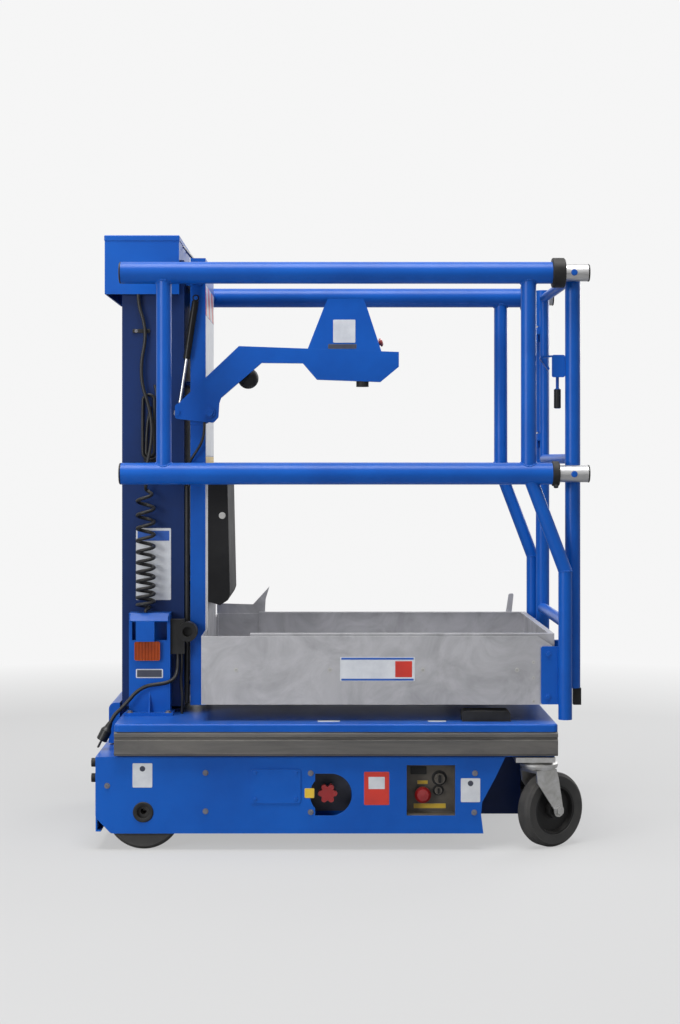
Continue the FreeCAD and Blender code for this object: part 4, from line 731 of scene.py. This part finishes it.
# %% The labels' plain coloured fields
DOT = 14
SQUARE_CORNER, DOT_CORNER = 1, DOT / 2.02
FIELDS = {
    "mast_label_field": ("platform", label_blue, SQUARE_CORNER, [((-477, MAST_Y - FILM, 770), NEAR, 82, 26)]),
    "tray_label_bands": ("platform", label_blue, SQUARE_CORNER, [
        ((95, TRAY_Y - FILM, 471), NEAR, 180, 5), ((95, TRAY_Y - FILM, 419), NEAR, 180, 5)]),
    "tray_label_square": ("platform", label_red, SQUARE_CORNER, [((160, TRAY_Y - FILM, 445), NEAR, 42, 40)]),
    "panel_label_dots": ("chassis", dark_print_and_shade, DOT_CORNER, [
        ((-486.7, PANEL_Y - FILM, 202), NEAR, DOT, DOT), ((324, PANEL_Y - FILM, 166), NEAR, DOT, DOT)]),
    "pillar_plate_fields": ("chassis", dark_print_and_shade, SQUARE_CORNER, [
        ((-482.7, -225 - FILM, 421), NEAR, 63, 18), ((-482.7, 225 + FILM, 421), FAR, 63, 18)]),
    "red_label_field": ("chassis", label_white, SQUARE_CORNER, [((92, PANEL_Y - FILM, 167), NEAR, 40, 30)]),
}
for name, (body, material, corner, plates) in FIELDS.items():
    piece(name, [(slab, *plate, FILM / 2, corner, 0.1) for plate in plates], body, material)


# %% [markdown]
# ## Plastic and rubber trim
# The rails are closed by domed plastic caps, the aluminium tubes by ringed ones. A
# rubber grommet lines the hole in front of the drive wheel's hub, and a thin dark slab
# under the console's label is painted shade in the mouth of its document tray.

# %% Caps, grommets, slots
RAIL_ENDS = [(side * RAIL_Y, level) for side in (-1, 1) for level in RAIL_LEVELS]
RAIL_CAP = ((25.5, 0), (26.8, 1), (26.8, 3), (24, 4.6), (15, 5.6), (1, 5.9))
TUBE_CAP = ((21.8, 0), (21.8, 2.6), (20.6, 3.8), (17.6, 3.8), (17, 2.6), (4, 2.4), (1, 2.4))
GROMMET = ((24.5, 0), (25.5, 1.5), (23.5, 3.2), (19, 3.4), (16, 2), (16, -3), (23, -3), (23, 0))
piece("rail_end_caps", [(lathe, (-541, *end), REAR, RAIL_CAP) for end in RAIL_ENDS], "platform", black_plastic)
piece("tube_end_caps", [(lathe, (616, *end), FRONT, TUBE_CAP) for end in RAIL_ENDS], "deck_extension", black_plastic)
piece("hub_grommets", [
    (lathe, (DRIVE_X, -side * PANEL_Y, DRIVE_Z), facing, GROMMET, 32, True) for side, facing in ((-1, NEAR), (1, FAR))],
    "chassis", soft_black)
# The slot is painted shade: a thin dark slab over the mouth of the tray.
piece("console_slot", [(slab, (9, -200, 1256), NEAR, 73, 12, 0.5, 2)], "arm", dark_print_and_shade)


# %% [markdown]
# The latch's handle has a plastic sleeve, and two clips hold the cable on the mast. The
# dark plate behind the release knob is painted shade, the dark one sees through the round
# window; the ribs that carry the chassis' nose, between the panel and the caster, are
# dark blue as painted shade.

# %% Sleeve, clips, painted shade in the knob's hole, and ribs
piece("latch_sleeve", [(bar, (547, -299.8, 1095), (547, -299.8, 1142), 8.8, 24)], "deck_extension", black_plastic)
piece("cable_clips", [
    (slab, (-508, MAST_Y, 1297), NEAR, 46, 10, 4.5, 3, 1), (slab, (-482, MAST_Y, 965), NEAR, 40, 10, 4.5, 3, 1)],
    "platform", black_plastic)
# A flat dark plate paints the shade inside the knob's hole.
piece("knob_hole_shade", [(slab, (-24, -290, 138), NEAR, 108, 108, FILM, 8)], "chassis", dark_print_and_shade)
RIB = ((345, 57), (466, 57), (466, 309), (402.5, 309), (402.5, 231), (345, 120))
# The ribs take the dark blue as painted shade, the dark between the panel and the caster.
piece("nose_ribs", [
    (skin_rings, [[Vector((x, side * y, z)) for x, z in RIB] for y in (186, 190)]) for side in (-1, 1)],
    "chassis", mast_and_shade_blue)


# %% [markdown]
# ## The ground controls
# Behind the window sits a grey-brown panel, darkened to paint the shade it lies in. A
# ring plate lies under each selector and under the stop button, a small hour meter above
# them, and a blank strip below.

# %% Panel furniture
CONTROLS_Y = -315
piece("dial_rings", [
    (lathe, (250, CONTROLS_Y, 171), NEAR, ((19, 0), (19, 0.8), (18, 1.2), (13.2, 1.2))),
    (lathe, (247, CONTROLS_Y, 141), NEAR, ((14, 0), (14, 0.8), (13, 1.2), (9.2, 1.2))),
    (slab, (198, CONTROLS_Y, 190), NEAR, 40, 20, 2.5, 2)], "chassis", black_plastic)
piece("selector_grips", [
    (slab, (198, CONTROLS_Y - 2.5, 190), NEAR, 32, 13, 0.6, 1), (slab, (250, CONTROLS_Y - 16, 171), NEAR, 7, 20, 5, 2),
    (slab, (247, CONTROLS_Y - 14, 141), NEAR, 5, 14, 4, 2)], "chassis", black_plastic)
piece("panel_strips", [
    (slab, (226, CONTROLS_Y, 101), NEAR, 80, 12, 0.5, 1), (slab, (208, CONTROLS_Y, 160), NEAR, 26, 9, 0.5, 1)],
    "chassis", label_yellow)


# %% [markdown]
# ## The platform's control box, seen from the deck
# The operator stands on the far side of the console: a black plate there carries a
# joystick in its rubber boot, two push buttons and a key switch.

# %% Operator's side of the console
BOX_Y = -140
JOYSTICK = ((15, 0), (14, 3), (11, 5), (12, 7), (8, 10), (9, 12), (5, 16), (4, 30), (8, 34), (9, 44), (7, 50), (2, 52))
BUTTON = ((8.5, 0), (8.5, 2), (7, 3), (6.5, 3), (6.5, 6), (5, 7), (1, 7))
piece("operator_panel", [
    (slab, (13, BOX_Y, 1297), FAR, 96, 78, 2, 5, 0.6), (lathe, (13, BOX_Y + 2, 1310), FAR, JOYSTICK)],
    "arm", black_plastic)
piece("operator_switches", [(lathe, (x, BOX_Y + 2, 1283), FAR, BUTTON) for x in (-15, 41)] + [
    (lathe, (13, BOX_Y + 2, 1273), FAR, ((8, 0), (8, 3), (6, 4), (1, 4)))], "arm", zinc)


# %% [markdown]
# ## Rear service door and lift chains
# No photograph shows the back. Lifts of this kind have a door there to the charger and
# the pump, so a plain plate with a grip hole stands for it. Two short chains run from
# under the hood to the carriage.

# %% Door and chains
DOOR_X = -605
piece("service_door", [(slab, (DOOR_X + 2, 0, 140), REAR, 460, 150, 2, 8, 0.6)], "chassis", blue_paint)
# The grip hole and the slots are flat dark plates: painted shade where the holes are.
piece("door_slots", [(slab, (DOOR_X, 0, 190), REAR, 70, 16, 0.8, 7.5)] + [
    (slab, (DOOR_X, 0, slot_z), REAR, 180, 3.5, 0.6, 1.6) for slot_z in range(95, 130, 9)], "chassis", dark_print_and_shade)
piece("lift_chains", [(bar, (-411, side, 1531), (-372, side, 1484), 3) for side in (-58, 58)], "platform", zinc)


# %% [markdown]
# ## Screws and bolts on points
# Screws repeat, so Geometry Nodes set them out: each point of a small mesh holds a
# place, the way the head faces and its size, and the tree puts one head on each.

# %% A tree that sets parts on points
def set_on_points(name, inputs, make_part):
    """A tree that puts one part on every point, turned to the point's facing and sized."""
    tree, given, result = new_group(
        name, "GeometryNodeTree", [("Points", "NodeSocketGeometry", None)] + inputs
        + [("Finish", "NodeSocketMaterial", None)], [("Geometry", "NodeSocketGeometry")])
    facing = add(tree, "GeometryNodeInputNamedAttribute", {"Name": "facing"}, data_type="FLOAT_VECTOR")
    size = add(tree, "GeometryNodeInputNamedAttribute", {"Name": "size"}, data_type="FLOAT")
    turn = add(tree, "FunctionNodeAlignRotationToVector", {"Vector": facing}, axis="Z")
    placed = add(tree, "GeometryNodeInstanceOnPoints", {
        "Points": given["Points"], "Instance": make_part(tree, given), "Rotation": turn, "Scale": size})
    real = add(tree, "GeometryNodeRealizeInstances", {"Geometry": placed})
    fill(tree, result, {"Geometry": add(tree, "GeometryNodeSetMaterial", {
        "Geometry": real, "Material": given["Finish"]})})
    return tree


print("helper: set_on_points")


# %% [markdown]
# A screw's head is a washer under a hexagon; a round head is the same with more sides.
# A bead of weld is a flattened ball.

# %% Screw heads and weld beads
WASHER_REACH, WASHER_THICK, ROUND = 1.45, 0.0016, 20


def screw_part(tree, given):
    washer = add(tree, "GeometryNodeMeshCylinder", {
        "Vertices": ROUND, "Radius": calc(tree, "MULTIPLY", given["Head Radius"], WASHER_REACH),
        "Depth": WASHER_THICK})
    head = add(tree, "GeometryNodeMeshCylinder", {
        "Vertices": given["Sides"], "Radius": given["Head Radius"], "Depth": given["Head Height"]})
    lift = add(tree, "ShaderNodeCombineXYZ", {"Z": calc(tree, "MULTIPLY", given["Head Height"], 0.5)})
    lifted = add(tree, "GeometryNodeTransform", {"Geometry": head, "Translation": lift})
    both = add(tree, "GeometryNodeJoinGeometry", {"Geometry": washer})
    fill(tree, both, {"Geometry": lifted})
    return both


def bead_part(tree, given):
    ball = add(tree, "GeometryNodeMeshIcoSphere", {"Radius": given["Bead Radius"], "Subdivisions": 2})
    return add(tree, "GeometryNodeTransform", {"Geometry": ball, "Scale": (1, 1, 0.7)})


screw_tree = set_on_points(
    "screws on points", [("Head Radius", NUMBER, 0.005), ("Head Height", NUMBER, 0.004), ("Sides", "NodeSocketInt", 6)],
    screw_part)
bead_tree = set_on_points("weld beads on points", [("Bead Radius", NUMBER, 0.003)], bead_part)
print("trees:", screw_tree.name, "and", bead_tree.name)


# %% [markdown]
# A tree runs on a mesh that is only points, and what it makes is kept as a plain piece.

# %% From points to a piece
def run_tree(name, mesh, tree, values):
    """What a tree makes of a mesh, its inputs set by name, as one plain piece."""
    item = put(name + "_points", mesh)
    modifier = item.modifiers.new(name, "NODES")
    modifier.node_group = tree
    for socket in tree.interface.items_tree:
        if socket.item_type == "SOCKET" and socket.in_out == "INPUT" and socket.name in values:
            modifier[socket.identifier] = values[socket.name]
    made = plain_mesh(item, name)
    made.data.shade_smooth()
    return made


def on_points(name, body, spots, material, tree=screw_tree, **settings):
    """spots: (place in mm, facing, size) each."""
    mesh = bpy.data.meshes.new(name + "_points")
    mesh.from_pydata([Vector(place) / 1000 for place, facing, size in spots], [], [])
    mesh.attributes.new("facing", "FLOAT_VECTOR", "POINT")
    mesh.attributes.new("size", "FLOAT", "POINT")
    for count, (place, facing, size) in enumerate(spots):
        mesh.attributes["facing"].data[count].vector = facing
        mesh.attributes["size"].data[count].value = size
    made = run_tree(name, mesh, tree, {"Finish": material} | titled(settings))
    made.data.set_sharp_from_angle(angle=SHARP)
    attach(made, body)
    print(name, len(spots), "on", body)


print("helpers: run_tree, on_points")


# %% [markdown]
# Each list below gives the places of one kind of screw on one body.

# %% Screws, piece by piece
PANEL_SCREWS = [(-574, 160), (-331, 192), (-331, 97), (-71, 191), (-71, 95), (335, 191), (333, 94)]
chassis_bare = [((x, PANEL_Y, z), NEAR, 1) for x, z in PANEL_SCREWS]
chassis_bare += [((x, -PANEL_Y, z), FAR, 1) for x, z in PANEL_SCREWS]
chassis_bare += [((x, side * 236, 323), UP, 1.2) for x in (-531, -434) for side in (-1, 1)]
on_points("chassis_screws", "chassis", chassis_bare, dull_screw)
chassis_blue = [((x, PANEL_Y - 3, z), NEAR, 0.7) for x in (-208, -107) for z in (193, 128)]
chassis_blue += [((-605, y, z), REAR, 1) for y in (-215, 215) for z in (80, 200)]
on_points("cover_screws", "chassis", chassis_blue, blue_paint)

platform_blue = [((x, side * 343, z), (0, side, 0), 1.1) for side in (-1, 1) for x, z in ((519, 484), (518, 377))]
platform_blue += [((-331, -205, 1086), NEAR, 1.9)]
on_points("platform_screws", "platform", platform_blue, blue_paint, sides=6)

tray_studs = [((x, side * 337, 443), (0, side, 0), 0.8) for side in (-1, 1) for x in (-257, -23, 208, 442)]
tray_studs += [((483, side * 337, z), (0, side, 0), 0.6) for side in (-1, 1) for z in (462, 423, 365)]
tray_studs += [((-300, side * 175, 822), (0, side, 0), 1.2) for side in (-1, 1)]
on_points("tray_studs", "platform", tray_studs, zinc, sides=ROUND, head_height=0.003)

on_points("tube_bolts", "deck_extension", [
    ((580, side * 371, level - 1), (0, side, 0), 1.1) for side in (-1, 1) for level in RAIL_LEVELS],
    blue_paint, sides=ROUND, head_height=0.003)
on_points("arm_bolt", "arm", [((-412, -200, 1086), NEAR, 1.1)], blue_paint)
on_points("ring_screws", "platform", [
    ((535, side * 365, 904.2), (0, side * 0.5, -0.87), 1.2) for side in (-1, 1)], black_plastic, sides=ROUND,
    head_height=0.006)
on_points("panel_corner_screws", "arm", [
    ((x, BOX_Y + 2, z), FAR, 0.55) for x in (-28, 54) for z in (1266, 1328)], zinc)
on_points("hinge_pins", "gate", [
    ((565, 287.6, level), UP, 1) for level in (1040, 1340)], zinc)
on_points("clip_screw", "platform", [((-521, -179.5, 1297), NEAR, 0.6)], dull_screw)


# %% [markdown]
# The casters stand turned, so their axle nuts are placed along the turned axle. The
# drive wheels' bolts lie on a circle round the hub.

# %% Axle nuts and wheel bolts
FORK_HALF = 32
BOLTS, BOLT_CIRCLE, HUB_FACE = 5, 36, 336
for side, hand, angle in (("near", -1, 33), ("far", 1, -40)):
    turn = math.radians(angle)
    axle = Vector((-math.sin(turn), math.cos(turn), 0))
    middle = Vector((
        CASTER_X + CASTER_TRAIL * math.cos(turn), hand * CASTER_Y + CASTER_TRAIL * math.sin(turn), CASTER_Z))
    on_points(f"{side}_axle_nuts", f"{side}_caster", [
        (middle + axle * FORK_HALF * way, axle * way, 2.1) for way in (-1, 1)], zinc, head_height=0.0042)
    around = [step * math.tau / BOLTS for step in range(BOLTS)]
    hub = [((DRIVE_X + BOLT_CIRCLE * math.cos(turn), hand * HUB_FACE, DRIVE_Z + BOLT_CIRCLE * math.sin(turn)),
            (0, hand, 0), 1.1) for turn in around]
    on_points(f"{side}_wheel_bolts", f"{side}_drive", hub, zinc)


# %% [markdown]
# ## Weld beads
# A bead runs round each joint of a post and a rail. Where one tube meets another, the
# seam is a saddle: at each angle its height on the rail follows from the two radii.

# %% Weld seams
POST_PLACES, POST_SEAM, RAIL_RADIUS, SEAM_STEPS = (-435, 469), 19.6, 27, 40
LEG_X, LEG_SEAM, LEG_TOP, LEG_STEPS = 560, 17, 690, 32


def bead_size(least, spread, step):
    return least + spread * (step % 3) / 2


beads = []
for side in (-1, 1):
    for post_x in POST_PLACES:
        for level, way in zip(RAIL_LEVELS, (-1, 1)):
            for step in range(SEAM_STEPS):
                turn = step * math.tau / SEAM_STEPS
                out_x, out_y = POST_SEAM * math.cos(turn), POST_SEAM * math.sin(turn)
                rise = math.sqrt(RAIL_RADIUS ** 2 - out_y ** 2)
                beads.append(((post_x + out_x, side * RAIL_Y + out_y, level + way * rise),
                              (math.cos(turn), math.sin(turn), way * 0.8), bead_size(0.85, 0.3, step)))
    for step in range(LEG_STEPS):
        turn = step * math.tau / LEG_STEPS
        beads.append(((LEG_X + LEG_SEAM * math.cos(turn), side * RAIL_Y + LEG_SEAM * math.sin(turn), LEG_TOP),
                      (math.cos(turn), math.sin(turn), 0), bead_size(0.6, 0.2, step)))
on_points("weld_beads", "platform", beads, blue_paint, bead_tree, bead_radius=0.0026)


# %% [markdown]
# ## The deck's raised pattern
# The rolling deck is pressed with short bars that lean one way and the other. A grid
# of points carries them; whether a bar leans left or right depends on the point's
# column and row, so neighbours always cross.

# %% Pressed deck
tread, given, result = new_group(
    "pressed deck", "GeometryNodeTree",
    [("Width", NUMBER, 0.6), ("Depth", NUMBER, 0.6), ("Columns", "NodeSocketInt", 20), ("Rows", "NodeSocketInt", 20),
     ("Middle", VECTOR, (0, 0, 0)), ("Finish", "NodeSocketMaterial", None)], [("Geometry", "NodeSocketGeometry")])
grid = add(tread, "GeometryNodeMeshGrid", {
    "Size X": given["Width"], "Size Y": given["Depth"], "Vertices X": given["Columns"], "Vertices Y": given["Rows"]})
BAR_HALF, BAR_SHAPE = 0.01, (1, 0.28, 0.12)
lozenge = add(tread, "GeometryNodeMeshUVSphere", {"Segments": 8, "Rings": 4, "Radius": BAR_HALF})
pressed = add(tread, "GeometryNodeTransform", {"Geometry": lozenge, "Scale": BAR_SHAPE})
number = add(tread, "GeometryNodeInputIndex")
column = add(tread, "ShaderNodeMath", {0: calc(tread, "DIVIDE", number, given["Rows"])}, operation="FLOOR")
row = calc(tread, "MODULO", number, given["Rows"])
odd = calc(tread, "MODULO", calc(tread, "ADD", column, row), 2)
lean = calc(tread, "ADD", calc(tread, "MULTIPLY", odd, math.pi / 2), math.pi / 4)
spread = add(tread, "GeometryNodeInstanceOnPoints", {
    "Points": grid, "Instance": pressed, "Rotation": add(tread, "ShaderNodeCombineXYZ", {"Z": lean})})
real = add(tread, "GeometryNodeRealizeInstances", {"Geometry": spread})
moved = add(tread, "GeometryNodeTransform", {"Geometry": real, "Translation": given["Middle"]})
painted = add(tread, "GeometryNodeSetMaterial", {"Geometry": moved, "Material": given["Finish"]})
fill(tread, result, {"Geometry": painted})

DECK = {"Width": 0.70, "Depth": 0.60, "Columns": 27, "Rows": 23, "Middle": mm(152, 0, 371.2), "Finish": tray_metal}
deck_tread = run_tree("deck_tread", bpy.data.meshes.new("deck_points"), tread, DECK)
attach(deck_tread, "deck_extension")
print("deck:", len(deck_tread.data.polygons), "faces")
